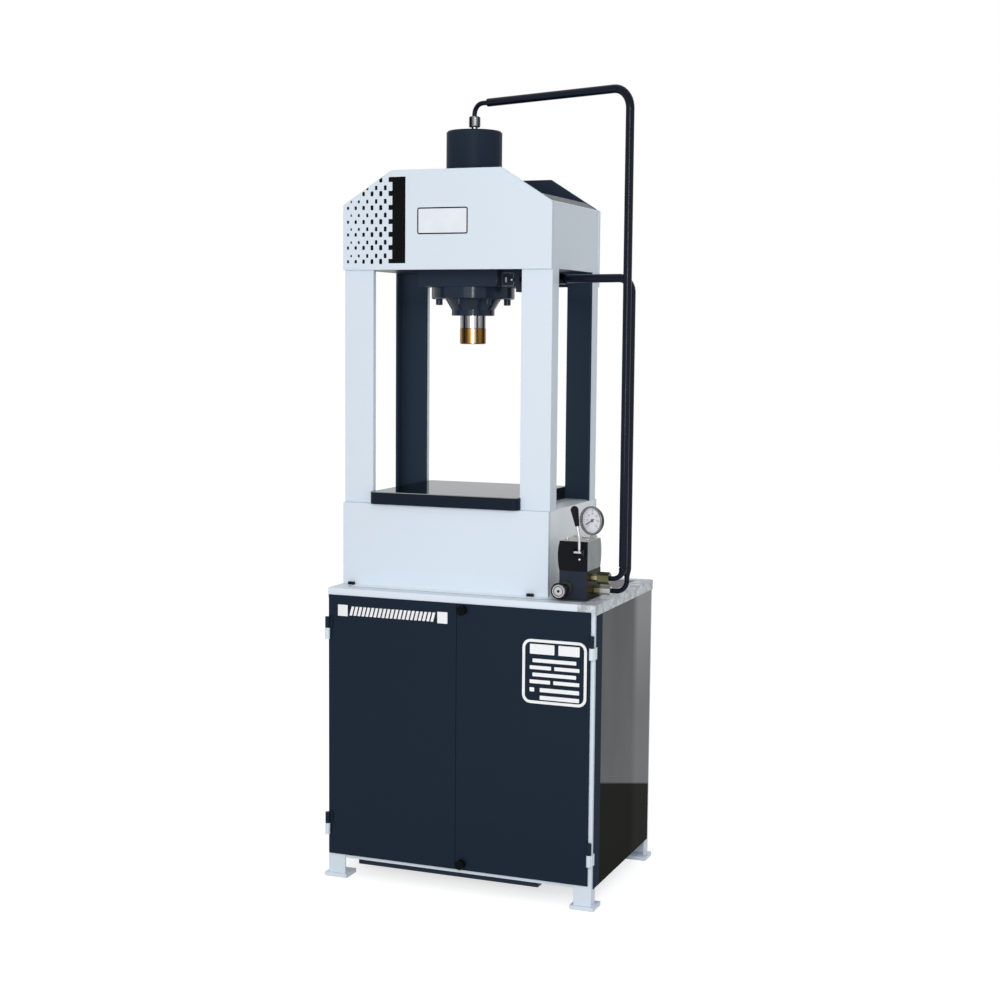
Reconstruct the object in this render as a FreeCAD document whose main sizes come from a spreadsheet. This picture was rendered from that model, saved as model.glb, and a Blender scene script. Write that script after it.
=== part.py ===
"""Hydraulic press: four-upright frame, down-stroking cylinder and a power pack in the cabinet below.

Millimetres, +Z up, +X to the right and +Y to the back. The origin is on the floor, at the middle of
the machine's overall outline. Places are given from the cabinet's front left corner and shifted when
a piece is placed.
"""
import FreeCAD, Part
import math
import os
import re
import Sketcher

doc = FreeCAD.newDocument("HydraulicPress")

sizes = {
    # cabinet
    "cabinet_width": 700, "cabinet_depth": 473, "deck_height": 735, "panel_sheet": 1.5, "panel_margin": 12,
    "corner_face": 45, "corner_side": 28, "angle_wall": 4,
    "foot_length": 60, "foot_width": 56, "foot_wall": 10, "foot_overhang": 6.6,
    "floor_hole": 5, "hole_across": 26, "hole_along": 38,
    "rim_flange": 38, "rim_face": 25, "sill_height": 49.5, "sill_face": 17,
    "bar_wall": 6, "bar_depth": 40, "deck_gap": 0.6,
    # doors, hinges and catches
    "door_bottom": 59.5, "door_top": 718, "door_left": 3, "door_right": 690, "door_sheet": 2, "door_gap": 0.3,
    "door_seam": 347.9, "door_parting": 1.6, "stiffener_depth": 15, "stiffener_rise": 32,
    "hinge_radius": 6, "hinge_pin": 3, "hinge_half": 28, "hinge_forward": 8.3, "hinge_leaf": 3.5,
    "hinge_left": 2.5, "hinge_right": 694.5, "hinge_low": 138, "hinge_high": 635, "running_fit": 0.1,
    "catch_across": 364, "catch_low": 74, "catch_high": 702.5, "catch_knob": 11.5, "catch_stem": 4, "catch_reach": 16,
    "catch_forward": 12.2,
    # power pack
    "tank_left": 80, "tank_front": 70, "tank_length": 480, "tank_width": 340, "tank_rise": 230, "tank_wall": 3,
    "tank_lip": 20, "lid_wall": 5, "motor_across": 230, "motor_back": 240, "motor_radius": 76, "motor_rise": 240,
    "motor_flange": 100, "shaft_radius": 14, "coupling_radius": 32, "bell_radius": 60, "bell_drop": 100,
    "pump_side": 90, "pump_rise": 80, "line_radius": 6, "return_radius": 8,
    # press frame
    "press_left": 3.2, "press_width": 549.7, "press_front": 77.5, "press_depth": 365.1,
    "plate_wall": 10, "sheet_wall": 6, "side_inset": 2, "base_top": 941.5,
    "head_bottom": 1521, "head_drop": 33.5, "head_shoulder": 1679.8, "head_top": 1762.3, "slope_run": 131,
    "lip_run": 34.7, "cheek_lift": 2.5, "upright_face": 77.9, "upright_side": 45.5, "upright_inset": 0.6,
    "upright_wall": 14, "table_left": 79.7, "table_span": 397.1, "table_front": 65, "table_wall": 31,
    "table_round": 16, "table_lip": 22.2, "table_notch": 2.7, "table_bevel": 1.5,
    "crosshead_wall": 40, "pad_half": 105, "pad_bottom": 1482,
    "bolt_radius": 3, "bolt_head": 7, "bolt_hexagon": 5, "bolt_gap": 10, "bolt_row": 7,
    "bolt_left": 21.1, "bolt_right": 48,
    # cylinder
    "barrel_radius": 70, "bore_radius": 50, "barrel_top": 1870, "cap_wall": 25,
    "flange_radius": 105, "flange_bottom": 1452, "screw_circle": 93, "screw_radius": 5, "screw_head": 8,
    "screw_rise": 14, "gland_radius": 54.2, "gland_step": 1425.5, "gland_bottom": 1411, "gland_top": 1500,
    "ram_radius": 32.5, "ram_bottom": 1379, "spigot_radius": 15, "nose_radius": 33, "nose_bottom": 1340,
    "piston_bottom": 1800, "piston_top": 1840,
    "port_front": 190, "port_depth": 36, "port_step": 142, "port_reach": 150.4, "port_bottom": 1469,
    "nut_radius": 15.9, "nut_rise": 26.5, "nut_low": 10.5, "nut_bevel": 3.5, "collar_radius": 8,
    # oil lines
    "sleeve_radius": 10.2, "sleeve_bore": 6, "line_bore": 4, "top_run": 1938, "line_across": 735, "line_front": 98,
    "side_across": 738, "side_back": 121, "side_run": 1500, "upper_port": 787, "lower_port": 754,
    # valve group
    "block_left": 587.5, "block_front": 60, "block_width": 70, "block_depth": 105, "block_rise": 70,
    "valve_width": 70, "valve_depth": 99, "valve_rise": 71, "valve_bulge": 4.5, "valve_belly": 9,
    "lever_across": 643, "lever_front": 45, "lever_low": 852, "lever_radius": 3.4, "lever_pin": 1.8, "lever_boss": 3.6,
    "lever_span": 20, "lever_offset": 4, "lug_wall": 4,
    "relief_across": 604, "relief_height": 762, "relief_knob": 16.4,
    "gauge_across": 646.2, "gauge_face": 115, "gauge_height": 921.3, "gauge_radius": 34.8, "gauge_case": 31.5,
    "gauge_depth": 18, "gauge_turn": 22, "needle_rest": 210,
}

sheet = doc.addObject("Spreadsheet::Sheet", "Sizes")
for row, (alias, number) in enumerate(sizes.items(), 1):
    sheet.set("A%d" % row, alias)
    sheet.set("B%d" % row, str(number))
    sheet.setAlias("B%d" % row, alias)
doc.recompute()

middle_across = "((side_across + sleeve_radius - foot_overhang) / 2)"
middle_along = "((cabinet_depth + foot_overhang - door_gap - door_sheet - catch_forward) / 2)"
press_middle = "(press_left + press_width / 2)"
press_centre = "(press_front + press_depth / 2)"
slope = "((head_top - head_shoulder) / slope_run)"
lid_top = "(sill_height + angle_wall + 18 + tank_rise + lid_wall)"
block_top = "(deck_height + block_rise)"
valve_top = "(deck_height + block_rise + valve_rise)"

starts = {}
pieces = []


def formula(text):
    """The text with each size written as a cell of the sheet."""
    return re.sub(r"[a-z]\w*", lambda word: "Sizes." + word.group() if word.group() in sizes else word.group(), text)


def worth(text):
    return float(sheet.evalExpression(formula(text)))


def point(x, y, z):
    """A place in the part's own frame, from one measured at the cabinet's front left corner."""
    return FreeCAD.Vector(worth(x + " - " + middle_across), worth(y + " - " + middle_along), worth(z))


def bind(thing, **texts):
    for name, text in texts.items():
        thing.setExpression(name, formula(text))
    return thing


def move(thing, x, y, z):
    for axis, text in zip("xyz", (x, y, z)):
        thing.setExpression("Placement.Base." + axis, formula(text))
    starts[thing.Name] = (x, y, z)
    return thing


def box(x, y, z, length, width, height):
    return move(bind(doc.addObject("Part::Box", "Box"), Length=length, Width=width, Height=height), x, y, z)


def rod(radius, height, x, y, z, towards=None):
    """A round bar that starts at the place given and runs up, or towards the direction given."""
    bar = bind(doc.addObject("Part::Cylinder", "Rod"), Radius=radius, Height=height)
    if towards:
        bar.Placement.Rotation = FreeCAD.Rotation(FreeCAD.Vector(0, 0, 1), FreeCAD.Vector(*towards))
    return move(bar, x, y, z)


def hexagon(radius, height, x, y, z, towards=None):
    """A hexagonal bar, its radius measured to the corners."""
    bar = bind(doc.addObject("Part::Prism", "Hexagon"), Circumradius=radius, Height=height)
    bar.Polygon = 6
    if towards:
        bar.Placement.Rotation = FreeCAD.Rotation(FreeCAD.Vector(0, 0, 1), FreeCAD.Vector(*towards))
    return move(bar, x, y, z)


def fuse(*solids):
    joined = doc.addObject("Part::MultiFuse", "Fusion")
    joined.Shapes = list(solids)
    joined.Refine = True
    return joined


def cut(solid, *tools):
    less = doc.addObject("Part::Cut", "Cut")
    less.Base = solid
    less.Tool = tools[0] if len(tools) == 1 else fuse(*tools)
    less.Refine = True
    return less


def piece(thing, label, x=None, y=None, z=None):
    """Names a finished sub-part and places it in the part's own frame."""
    thing.Label = label
    if x is None:
        x, y, z = starts.get(thing.Name, ("0", "0", "0"))
    move(thing, x + " - " + middle_across, y + " - " + middle_along, z)
    pieces.append(thing)
    return thing


def sketch(body, plane):
    drawing = body.newObject("Sketcher::SketchObject", "Sketch")
    drawing.AttachmentSupport = [(next(f for f in body.Origin.OriginFeatures if f.Role == plane), "")]
    drawing.MapMode = "FlatFace"
    return drawing


def outline(body, plane, corners):
    """A closed outline whose corners are tied to the sheet."""
    drawing = sketch(body, plane)
    places = [FreeCAD.Vector(worth(across), worth(up), 0) for across, up in corners]
    for number, place in enumerate(places):
        drawing.addGeometry(Part.LineSegment(place, places[(number + 1) % len(places)]), False)
    for number, (across, up) in enumerate(corners):
        following = (number + 1) % len(places)
        drawing.addConstraint(Sketcher.Constraint("Coincident", number, 2, following, 1))
        for kind, text in (("DistanceX", across), ("DistanceY", up)):
            tie = drawing.addConstraint(Sketcher.Constraint(kind, -1, 1, number, 1, worth(text)))
            drawing.setExpression("Constraints[%d]" % tie, formula(text))
    return drawing


def circle(body, plane, radius, across="0", up="0"):
    drawing = sketch(body, plane)
    centre = FreeCAD.Vector(worth(across), worth(up), 0)
    drawing.addGeometry(Part.Circle(centre, FreeCAD.Vector(0, 0, 1), worth(radius)), False)
    tie = drawing.addConstraint(Sketcher.Constraint("Radius", 0, worth(radius)))
    drawing.setExpression("Constraints[%d]" % tie, formula(radius))
    for kind, text in (("DistanceX", across), ("DistanceY", up)):
        tie = drawing.addConstraint(Sketcher.Constraint(kind, -1, 1, 0, 3, worth(text)))
        drawing.setExpression("Constraints[%d]" % tie, formula(text))
    return drawing


def body():
    return doc.addObject("PartDesign::Body", "Body")


def pad(solid, drawing, length, backwards=False):
    feature = solid.newObject("PartDesign::Pad", "Pad")
    feature.Profile = drawing
    feature.Reversed = backwards
    bind(feature, Length=length)
    doc.recompute()
    return feature


def plate(plane, corners, wall):
    """A plate of the outline given: on the XZ plane it grows to the back, on XY upwards."""
    solid = body()
    pad(solid, outline(solid, plane, corners), wall, plane == "XZ_Plane")
    return solid


def turned(profile, towards=None):
    """A solid of revolution about its own Z from pairs of radius and height, or about the direction given."""
    solid = body()
    feature = solid.newObject("PartDesign::Revolution", "Revolution")
    feature.Profile = outline(solid, "XZ_Plane", profile)
    feature.ReferenceAxis = (feature.Profile[0], ["V_Axis"])
    feature.Angle = 360
    doc.recompute()
    if towards:
        solid.Placement.Rotation = FreeCAD.Rotation(FreeCAD.Vector(0, 0, 1), FreeCAD.Vector(*towards))
    return solid


def pocket(solid, drawing):
    """A cut straight through on both sides of the drawing; it must take some material away."""
    before = solid.Shape.Volume
    feature = solid.newObject("PartDesign::Pocket", "Pocket")
    feature.Profile = drawing
    feature.Type = "ThroughAll"
    feature.Midplane = True
    doc.recompute()
    assert solid.Shape.Volume < before - 1, feature.Name
    return feature


def repeat_round(solid, feature, count):
    pattern = solid.newObject("PartDesign::PolarPattern", "PolarPattern")
    pattern.Originals = [feature]
    pattern.Axis = (next(f for f in solid.Origin.OriginFeatures if f.Role == "Z_Axis"), [""])
    pattern.Angle = 360
    pattern.Occurrences = count
    solid.Tip = pattern
    doc.recompute()
    return pattern


def repeat_along(solid, feature, role, length, count):
    pattern = solid.newObject("PartDesign::LinearPattern", "LinearPattern")
    pattern.Originals = [feature]
    pattern.Direction = (next(f for f in solid.Origin.OriginFeatures if f.Role == role), [""])
    bind(pattern, Length=length)
    pattern.Occurrences = count
    solid.Tip = pattern
    doc.recompute()
    return pattern


def edges_along(shape, direction):
    """Names of the straight edges that run along the direction given."""
    wanted = FreeCAD.Vector(*direction)
    names = []
    for number, edge in enumerate(shape.Edges, 1):
        span = edge.Vertexes[-1].Point - edge.Vertexes[0].Point
        if edge.Curve.TypeId == "Part::GeomLine" and span.Length > 1 and span.cross(wanted).Length < 1e-6 * span.Length:
            names.append("Edge%d" % number)
    return names


def eased(solid, feature, kind, names, size):
    """Rounds or bevels the edges named."""
    finish = solid.newObject("PartDesign::" + kind, kind)
    finish.Base = (feature, names)
    bind(finish, **{"Radius" if kind == "Fillet" else "Size": size})
    doc.recompute()
    return finish


def across(side, near, size):
    """X of a thing that lies the same distance in from the left or the right side of the cabinet."""
    return near if side == "left" else "cabinet_width - (%s) - (%s)" % (near, size)


def along(end, near, size):
    return near if end == "front" else "cabinet_depth - (%s) - (%s)" % (near, size)


def press_across(side, near, size):
    if side == "left":
        return "press_left + %s" % near
    return "press_left + press_width - (%s) - (%s)" % (near, size)


def press_along(end, near, size):
    if end == "front":
        return "press_front + %s" % near
    return "press_front + press_depth - (%s) - (%s)" % (near, size)


# ---- cabinet ----

def leg(side, end):
    rise = "deck_height - rim_face - foot_wall"
    parts = [
        box(across(side, "panel_sheet", "corner_face"), along(end, "panel_sheet", "angle_wall"), "foot_wall",
            "corner_face", "angle_wall", rise),
        box(across(side, "panel_sheet", "angle_wall"), along(end, "panel_sheet", "corner_side"), "foot_wall",
            "angle_wall", "corner_side", rise),
        box(across(side, "0 - foot_overhang", "foot_length"), along(end, "0 - foot_overhang", "foot_width"), "0",
            "foot_length", "foot_width", "foot_wall"),
    ]
    if end == "front":
        for height in ("hinge_low", "hinge_high"):
            foot = height + " - hinge_half"
            parts.append(rod("hinge_radius", "hinge_half", "hinge_" + side, "0 - hinge_forward", foot))
            parts.append(rod("hinge_pin", "hinge_half + 20", "hinge_" + side, "0 - hinge_forward", foot))
            parts.append(box(across(side, "panel_sheet - hinge_leaf", "hinge_leaf"), "0 - hinge_forward", foot,
                             "hinge_leaf", "hinge_forward + 11", "hinge_half"))
    hole = rod("floor_hole", "2 * foot_wall", across(side, "hole_across", "0"), along(end, "hole_along", "0"),
               "0 - foot_wall / 2")
    piece(cut(fuse(*parts), hole), "%s_%s_leg" % (end, side))


def ring(inset, height, rise, wall):
    """A closed rectangular ring inside the cabinet's outline."""
    outer = box(inset, inset, height, "cabinet_width - 2 * (%s)" % inset, "cabinet_depth - 2 * (%s)" % inset, rise)
    hole = "(%s) + (%s)" % (inset, wall)
    inner = box(hole, hole, "(%s) - 1" % height, "cabinet_width - 2 * (%s)" % hole,
                "cabinet_depth - 2 * (%s)" % hole, "(%s) + 2" % rise)
    return cut(outer, inner)


def base_bolt_places(first, last):
    """The bolt pairs before and behind the base, left ones first."""
    right = "press_left + press_width - bolt_right"
    pairs = ("press_left + bolt_left", "press_left + bolt_left + bolt_gap", right, right + " + bolt_gap")
    rows = ("press_front - bolt_row", "press_front + press_depth + bolt_row")
    return [(x, y) for y in rows for x in pairs][first:last]


def rims():
    """The angle frames at the top and the bottom; the top one's front rail is a piece of its own."""
    bars = [box(x, "angle_wall", "deck_height - angle_wall - bar_depth", "bar_wall",
                "cabinet_depth - 2 * angle_wall", "bar_depth") for x in ("100", "545")]
    top = fuse(ring("0", "deck_height - rim_face", "rim_face", "angle_wall"),
               ring("0", "deck_height - angle_wall", "angle_wall", "rim_flange"), *bars)
    holes = [rod("bolt_radius", "3 * angle_wall", x, y, "deck_height - 2 * angle_wall")
             for x, y in base_bolt_places(0, 2) + base_bolt_places(4, 8)]
    gaps = [box("0 - 1", "0 - 1", low, "cabinet_width + 2", width + " + 1", rise) for width, low, rise in (
        ("rim_flange", "deck_height - angle_wall", "angle_wall + 1"),
        ("angle_wall", "deck_height - rim_face", "rim_face + 1"))]
    piece(cut(top, *holes, *gaps), "top_rim")
    piece(fuse(box("0", "0", "deck_height - rim_face", "cabinet_width", "angle_wall", "rim_face"),
               box("0", "0", "deck_height - angle_wall", "cabinet_width", "rim_flange", "angle_wall")), "top_front_rail")
    inset = "(panel_sheet + angle_wall)"
    seats = [box(inset, y, "sill_height + angle_wall", "cabinet_width - 2 * " + inset, "30", "18")
             for y in ("tank_front + 50", "tank_front + tank_width - 80")]
    piece(fuse(ring(inset, "sill_height", "sill_face", "angle_wall"),
               ring(inset, "sill_height", "angle_wall", "rim_flange"), *seats), "bottom_rim")


def deck():
    inset = "(rim_flange + deck_gap)"
    top = box(inset, inset, "deck_height - angle_wall", "cabinet_width - 2 * " + inset,
              "cabinet_depth - 2 * " + inset, "angle_wall")
    holes = [rod("bolt_radius", "3 * angle_wall", x, y, "deck_height - 2 * angle_wall")
             for x, y in base_bolt_places(2, 4)]
    holes.append(rod("line_radius + 2", "3 * angle_wall", "610", "110", "deck_height - 2 * angle_wall"))
    holes.append(rod("return_radius + 2", "3 * angle_wall", "635", "110", "deck_height - 2 * angle_wall"))
    piece(cut(top, *holes), "deck_plate")


def panels():
    for side in ("left", "right"):
        piece(box(across(side, "0", "panel_sheet"), "panel_margin", "sill_height", "panel_sheet",
                  "cabinet_depth - 2 * panel_margin", "deck_height - rim_face - sill_height"), side + "_side_panel")
    span = "cabinet_width - 2 * panel_margin"
    rise = "deck_height - rim_face - sill_height"
    back = plate("XZ_Plane", [("0", "0"), (span, "0"), (span, rise), ("0", rise)], "panel_sheet")
    slot = [("90", "440"), ("250", "440"), ("250", "446"), ("90", "446")]
    repeat_along(back, pocket(back, outline(back, "XZ_Plane", slot)), "Z_Axis", "150", 7)
    piece(back, "back_panel", "panel_margin", "cabinet_depth - panel_sheet", "sill_height")


def drip_tray():
    shell = box("71", "30", "sill_height - 19.5", "482", "cabinet_depth - 60", "19.5")
    hollow = box("73", "32", "sill_height - 17.5", "478", "cabinet_depth - 64", "19.5")
    piece(cut(shell, hollow), "drip_tray")


# ---- doors ----

def door(side):
    if side == "left":
        start, end, inner, leaf = "door_left", "door_seam - door_parting / 2", "door_left + 52", "hinge_left"
    else:
        start, end, inner, leaf = "door_seam + door_parting / 2", "door_right", "door_seam + 40", "hinge_right - 12"
    outer = "door_seam - 12" if side == "left" else "door_right - 48"
    rise = "door_top - door_bottom - 2 * stiffener_rise"
    front = "0 - door_gap - door_sheet"
    face = box(start, front, "door_bottom", "(%s) - (%s)" % (end, start), "door_sheet", "door_top - door_bottom")
    frame = box(inner, "0 - door_gap", "door_bottom + stiffener_rise", "(%s) - (%s)" % (outer, inner),
                "stiffener_depth", rise)
    hollow = box("(%s) + door_sheet" % inner, "0 - door_gap", "door_bottom + stiffener_rise + door_sheet",
                 "(%s) - (%s) - 2 * door_sheet" % (outer, inner), "stiffener_depth + 1", rise + " - 2 * door_sheet")
    parts = [face, cut(frame, hollow)]
    holes = []
    for height in ("hinge_low", "hinge_high"):
        parts.append(rod("hinge_radius", "hinge_half", "hinge_" + side, "0 - hinge_forward", height + " + door_gap"))
        parts.append(box(leaf, "0 - hinge_forward + 2.5", height + " + door_gap", "12", "hinge_forward - 2.5 - door_gap",
                         "hinge_half"))
        holes.append(rod("hinge_pin + running_fit", "22", "hinge_" + side, "0 - hinge_forward", height))
    if side == "right":
        for height in ("catch_low", "catch_high"):
            holes.append(rod("catch_stem + running_fit", "20", "catch_across", "0 - 10", height, (0, 1, 0)))
    piece(cut(fuse(*parts), *holes), side + "_door")


def catch(label, height, seat):
    """A round knob outside, a stem through the door and a flat cam behind it, turned aside to unlock."""
    front = "0 - door_gap - door_sheet"
    knob = rod("catch_knob", "12", "catch_across", front + " - catch_forward", height, (0, 1, 0))
    stem = rod("catch_stem", "14 + (%s)" % seat, "catch_across", front + " - 5", height, (0, 1, 0))
    cam = box("catch_across", seat, height + " - 6", "catch_reach", "3", "12")
    boss = rod("6", "3", "catch_across", seat, height, (0, 1, 0))
    piece(fuse(knob, stem, cam, boss), label)


# ---- power pack ----

def tank():
    foot = "(sill_height + angle_wall + 18)"
    shell = box("tank_left", "tank_front", foot, "tank_length", "tank_width", "tank_rise")
    lip = box("tank_left - tank_lip", "tank_front - tank_lip", foot + " + tank_rise - tank_wall",
              "tank_length + 2 * tank_lip", "tank_width + 2 * tank_lip", "tank_wall")
    hollow = box("tank_left + tank_wall", "tank_front + tank_wall", foot + " + tank_wall",
                 "tank_length - 2 * tank_wall", "tank_width - 2 * tank_wall", "tank_rise")
    piece(cut(fuse(shell, lip), hollow), "oil_tank")
    lid = box("tank_left - tank_lip", "tank_front - tank_lip", lid_top + " - lid_wall",
              "tank_length + 2 * tank_lip", "tank_width + 2 * tank_lip", "lid_wall")
    below = lid_top + " - 2 * lid_wall"
    holes = [
        rod("bell_radius", "3 * lid_wall", "motor_across", "motor_back", below),
        rod("line_radius + 1", "3 * lid_wall", "360", "motor_back", below),
        rod("return_radius + 1", "3 * lid_wall", "450", "300", below),
        rod("20", "3 * lid_wall", "480", "150", below),
    ]
    piece(cut(lid, *holes), "tank_lid")


def motor():
    """A flange motor that stands on the bellhousing: ribbed case, terminal box and fan cowl."""
    foot = "(%s + 10)" % lid_top
    case = turned([
        ("shaft_radius + running_fit", "0"), ("motor_flange", "0"), ("motor_flange", "12"),
        ("motor_radius", "20"), ("motor_radius", "motor_rise - 60"), ("motor_radius + 10", "motor_rise - 56"),
        ("motor_radius + 10", "motor_rise - 12"), ("motor_radius - 4", "motor_rise"), ("0", "motor_rise"),
        ("0", "46"), ("shaft_radius + running_fit", "46"),
    ])
    rib = pad(case, outline(case, "XY_Plane", [
        ("motor_radius - 2", "0 - 1.5"), ("motor_radius + 8", "0 - 1.5"),
        ("motor_radius + 8", "1.5"), ("motor_radius - 2", "1.5")]), "motor_rise - 60")
    repeat_round(case, rib, 20)
    box_spot = ("motor_across + motor_radius - 6", "motor_back - 40", foot + " + 70")
    terminal = box(*box_spot, "44", "80", "90")
    move(case, "motor_across", "motor_back", foot)
    piece(fuse(case, terminal), "electric_motor")


def pump():
    bell = turned([
        ("22", "0 - bell_drop"), ("bell_radius", "0 - bell_drop"), ("bell_radius", "0"), ("motor_flange", "0"),
        ("motor_flange", "10"), ("bell_radius - 10", "10"), ("bell_radius - 10", "12 - bell_drop"),
        ("22", "12 - bell_drop")])
    piece(bell, "bellhousing", "motor_across", "motor_back", lid_top)
    shaft = turned([
        ("0", "0 - bell_drop - 36"), ("9", "0 - bell_drop - 36"), ("9", "0 - 70"), ("coupling_radius", "0 - 70"),
        ("coupling_radius", "0 - 10"), ("shaft_radius", "0 - 10"), ("shaft_radius", "50"), ("0", "50")])
    piece(shaft, "drive_shaft", "motor_across", "motor_back", lid_top)
    floor = "(%s - bell_drop - pump_rise)" % lid_top
    case = box("motor_across - pump_side / 2", "motor_back - pump_side / 2", floor, "pump_side", "pump_side",
               "pump_rise")
    collar = rod("22", "12", "motor_across", "motor_back", "%s - bell_drop" % lid_top)
    strainer = rod("28", "34", "motor_across", "motor_back", floor + " - 34")
    bore = rod("9 + running_fit", "60", "motor_across", "motor_back", "%s - bell_drop - 40" % lid_top)
    piece(cut(fuse(case, collar, strainer), bore), "gear_pump")


def filler():
    cap = turned([
        ("0", "0 - 60"), ("18", "0 - 60"), ("18", "0"), ("30", "0"), ("30", "4"), ("22", "4"), ("22", "22"),
        ("34", "24"), ("36", "27"), ("36", "48"), ("30", "54"), ("0", "56")])
    piece(cap, "filler_breather", "480", "150", lid_top)


# ---- oil lines ----

def route(places, bends):
    """Straight runs joined by tangent arcs, as one wire."""
    edges = []
    start = places[0]
    for before, corner, after, bend in zip(places, places[1:], places[2:], bends):
        back = (before - corner).normalize()
        ahead = (after - corner).normalize()
        half = back.getAngle(ahead) / 2
        leave = corner + back * (bend / math.tan(half))
        arrive = corner + ahead * (bend / math.tan(half))
        inward = (back + ahead).normalize()
        middle = corner + inward * (bend / math.sin(half) - bend)
        edges.append(Part.LineSegment(start, leave).toShape())
        edges.append(Part.Arc(leave, middle, arrive).toShape())
        start = arrive
    edges.append(Part.LineSegment(start, places[-1]).toShape())
    return Part.Wire(edges)


def swept(path, places, radius):
    ring_wire = Part.Wire([Part.Circle(places[0], places[1] - places[0], radius).toShape()])
    solid = path.makePipeShell([ring_wire], True, False)
    assert abs(solid.Volume / (math.pi * radius ** 2 * path.Length) - 1) < 0.01
    return solid


def shaped(label, shape, place):
    """A sub-part whose shape is worked out here, about its own origin."""
    thing = doc.addObject("Part::Feature", "Shaped")
    thing.Label = label
    thing.Shape = shape if shape.ShapeType == "Solid" else shape.Solids[0]
    thing.Placement = FreeCAD.Placement(place, FreeCAD.Rotation())
    pieces.append(thing)


def tube(places, bends, outer, inner):
    """A bent tube about its own first point."""
    local = [place - places[0] for place in places]
    path = route(local, bends)
    return swept(path, local, worth(outer)).cut(swept(path, local, worth(inner)))


def line(label, places, bends, outer, inner):
    """A bent tube. Its route is worked out from the sheet, and its place is the first point of that route."""
    shaped(label, tube(places, bends, outer, inner), places[0])


def inside_lines():
    pump_port = "(%s - bell_drop - 36)" % lid_top
    line("pressure_pipe", [
        point("motor_across + pump_side / 2", "motor_back", pump_port), point("360", "motor_back", pump_port),
        point("360", "motor_back", "650"), point("610", "110", "650"), point("610", "110", "deck_height")],
        [26, 40, 40], "line_radius", "line_bore")
    line("return_pipe", [
        point("635", "110", "deck_height"), point("635", "110", "600"), point("450", "300", "600"),
        point("450", "300", "120")], [40, 40], "return_radius", "line_radius")


def outside_lines():
    top = [point(press_middle, press_centre, "barrel_top + 20"), point(press_middle, press_centre, "top_run"),
           point("line_across", "line_front", "top_run"), point("line_across", "line_front", "upper_port"),
           point("block_left + block_width + 33", "line_front", "upper_port")]
    bends = [26, 48, 26]
    line("top_pipe", top, bends, "line_radius", "line_bore")
    run = (top[2] - top[1]).normalize()
    top_sleeve = [top[1] + run * 46, top[2], top[3] + FreeCAD.Vector(0, 0, 30)], bends[1:2]
    side = [
        point(press_middle + " + port_reach + 1.6", "port_front + 10", "side_run"), point("side_across", "side_back", "side_run"),
            point("side_across", "side_back", "lower_port"),
            point("block_left + block_width + 30", "side_back", "lower_port")]
    bends = [34, 26]
    line("side_pipe", side, bends, "line_radius", "line_bore")
    run = (side[1] - side[0]).normalize()
    side_sleeve = [side[0] + run * 134, side[1], side[2] + FreeCAD.Vector(0, 0, 58)], bends[:1]
    covers = []
    for places, turns in (top_sleeve, side_sleeve):
        cover = doc.addObject("Part::Feature", "Cover")
        cover.Shape = tube(places, turns, "sleeve_radius", "sleeve_bore")
        cover.Placement = FreeCAD.Placement(places[0] - point("0", "0", "0"), FreeCAD.Rotation())
        covers.append(cover)
    piece(fuse(*covers), "pipe_sleeves")
    joint = side[0] + run * 112
    nuts = []
    for front, height, neck, nipple, reach, nut in (("line_front", "upper_port", "9.5", "16", "15", "29"),
                                                    ("side_back", "lower_port", "10.5", "14", "10.8", "27")):
        start = "block_left + block_width"
        nuts.append(hexagon(neck, nipple, start, front, height, (1, 0, 0)))
        nuts.append(hexagon(reach, nut, start + " + " + nipple, front, height, (1, 0, 0)))
        nuts.append(rod("line_radius", "60", start + " + " + nipple, front, height, (1, 0, 0)))
    solid = cut(fuse(nuts[0], nuts[1], nuts[3], nuts[4]), nuts[2], nuts[5])
    union = doc.addObject("Part::Feature", "Union")
    around = FreeCAD.Rotation(FreeCAD.Vector(0, 0, 1), run)
    union.Shape = Part.makeCylinder(13, 22, FreeCAD.Vector(), FreeCAD.Vector(0, 0, 1)).cut(Part.makeCylinder(6, 22))
    union.Placement = FreeCAD.Placement(joint + point("0", "0", "0") * -1, around)
    piece(fuse(solid, union), "pipe_fittings")


# ---- press frame ----

def base():
    for end in ("front", "rear"):
        piece(box("press_left", press_along(end, "0", "plate_wall"), "deck_height", "press_width", "plate_wall",
                  "base_top - deck_height"), "base_%s_plate" % end)
    left, right = "0", "press_width - 2 * side_inset"
    rise = "base_top - deck_height"
    shell = plate("XZ_Plane", [
        (left, "0"), (left, rise), (right, rise), (right, "0"), (right + " - sheet_wall", "0"),
        (right + " - sheet_wall", rise + " - sheet_wall"), ("sheet_wall", rise + " - sheet_wall"),
        ("sheet_wall", "0")], "press_depth - 2 * plate_wall")
    piece(shell, "base_shell", "press_left + side_inset", "press_front + plate_wall", "deck_height")
    bolts = []
    for x, y in base_bolt_places(0, 8):
        bolts.append(hexagon("bolt_hexagon", "bolt_head", x, y, "deck_height"))
        bolts.append(rod("bolt_radius", "3 * angle_wall", x, y, "deck_height - 2 * angle_wall"))
    piece(fuse(*bolts), "base_bolts")


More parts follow.
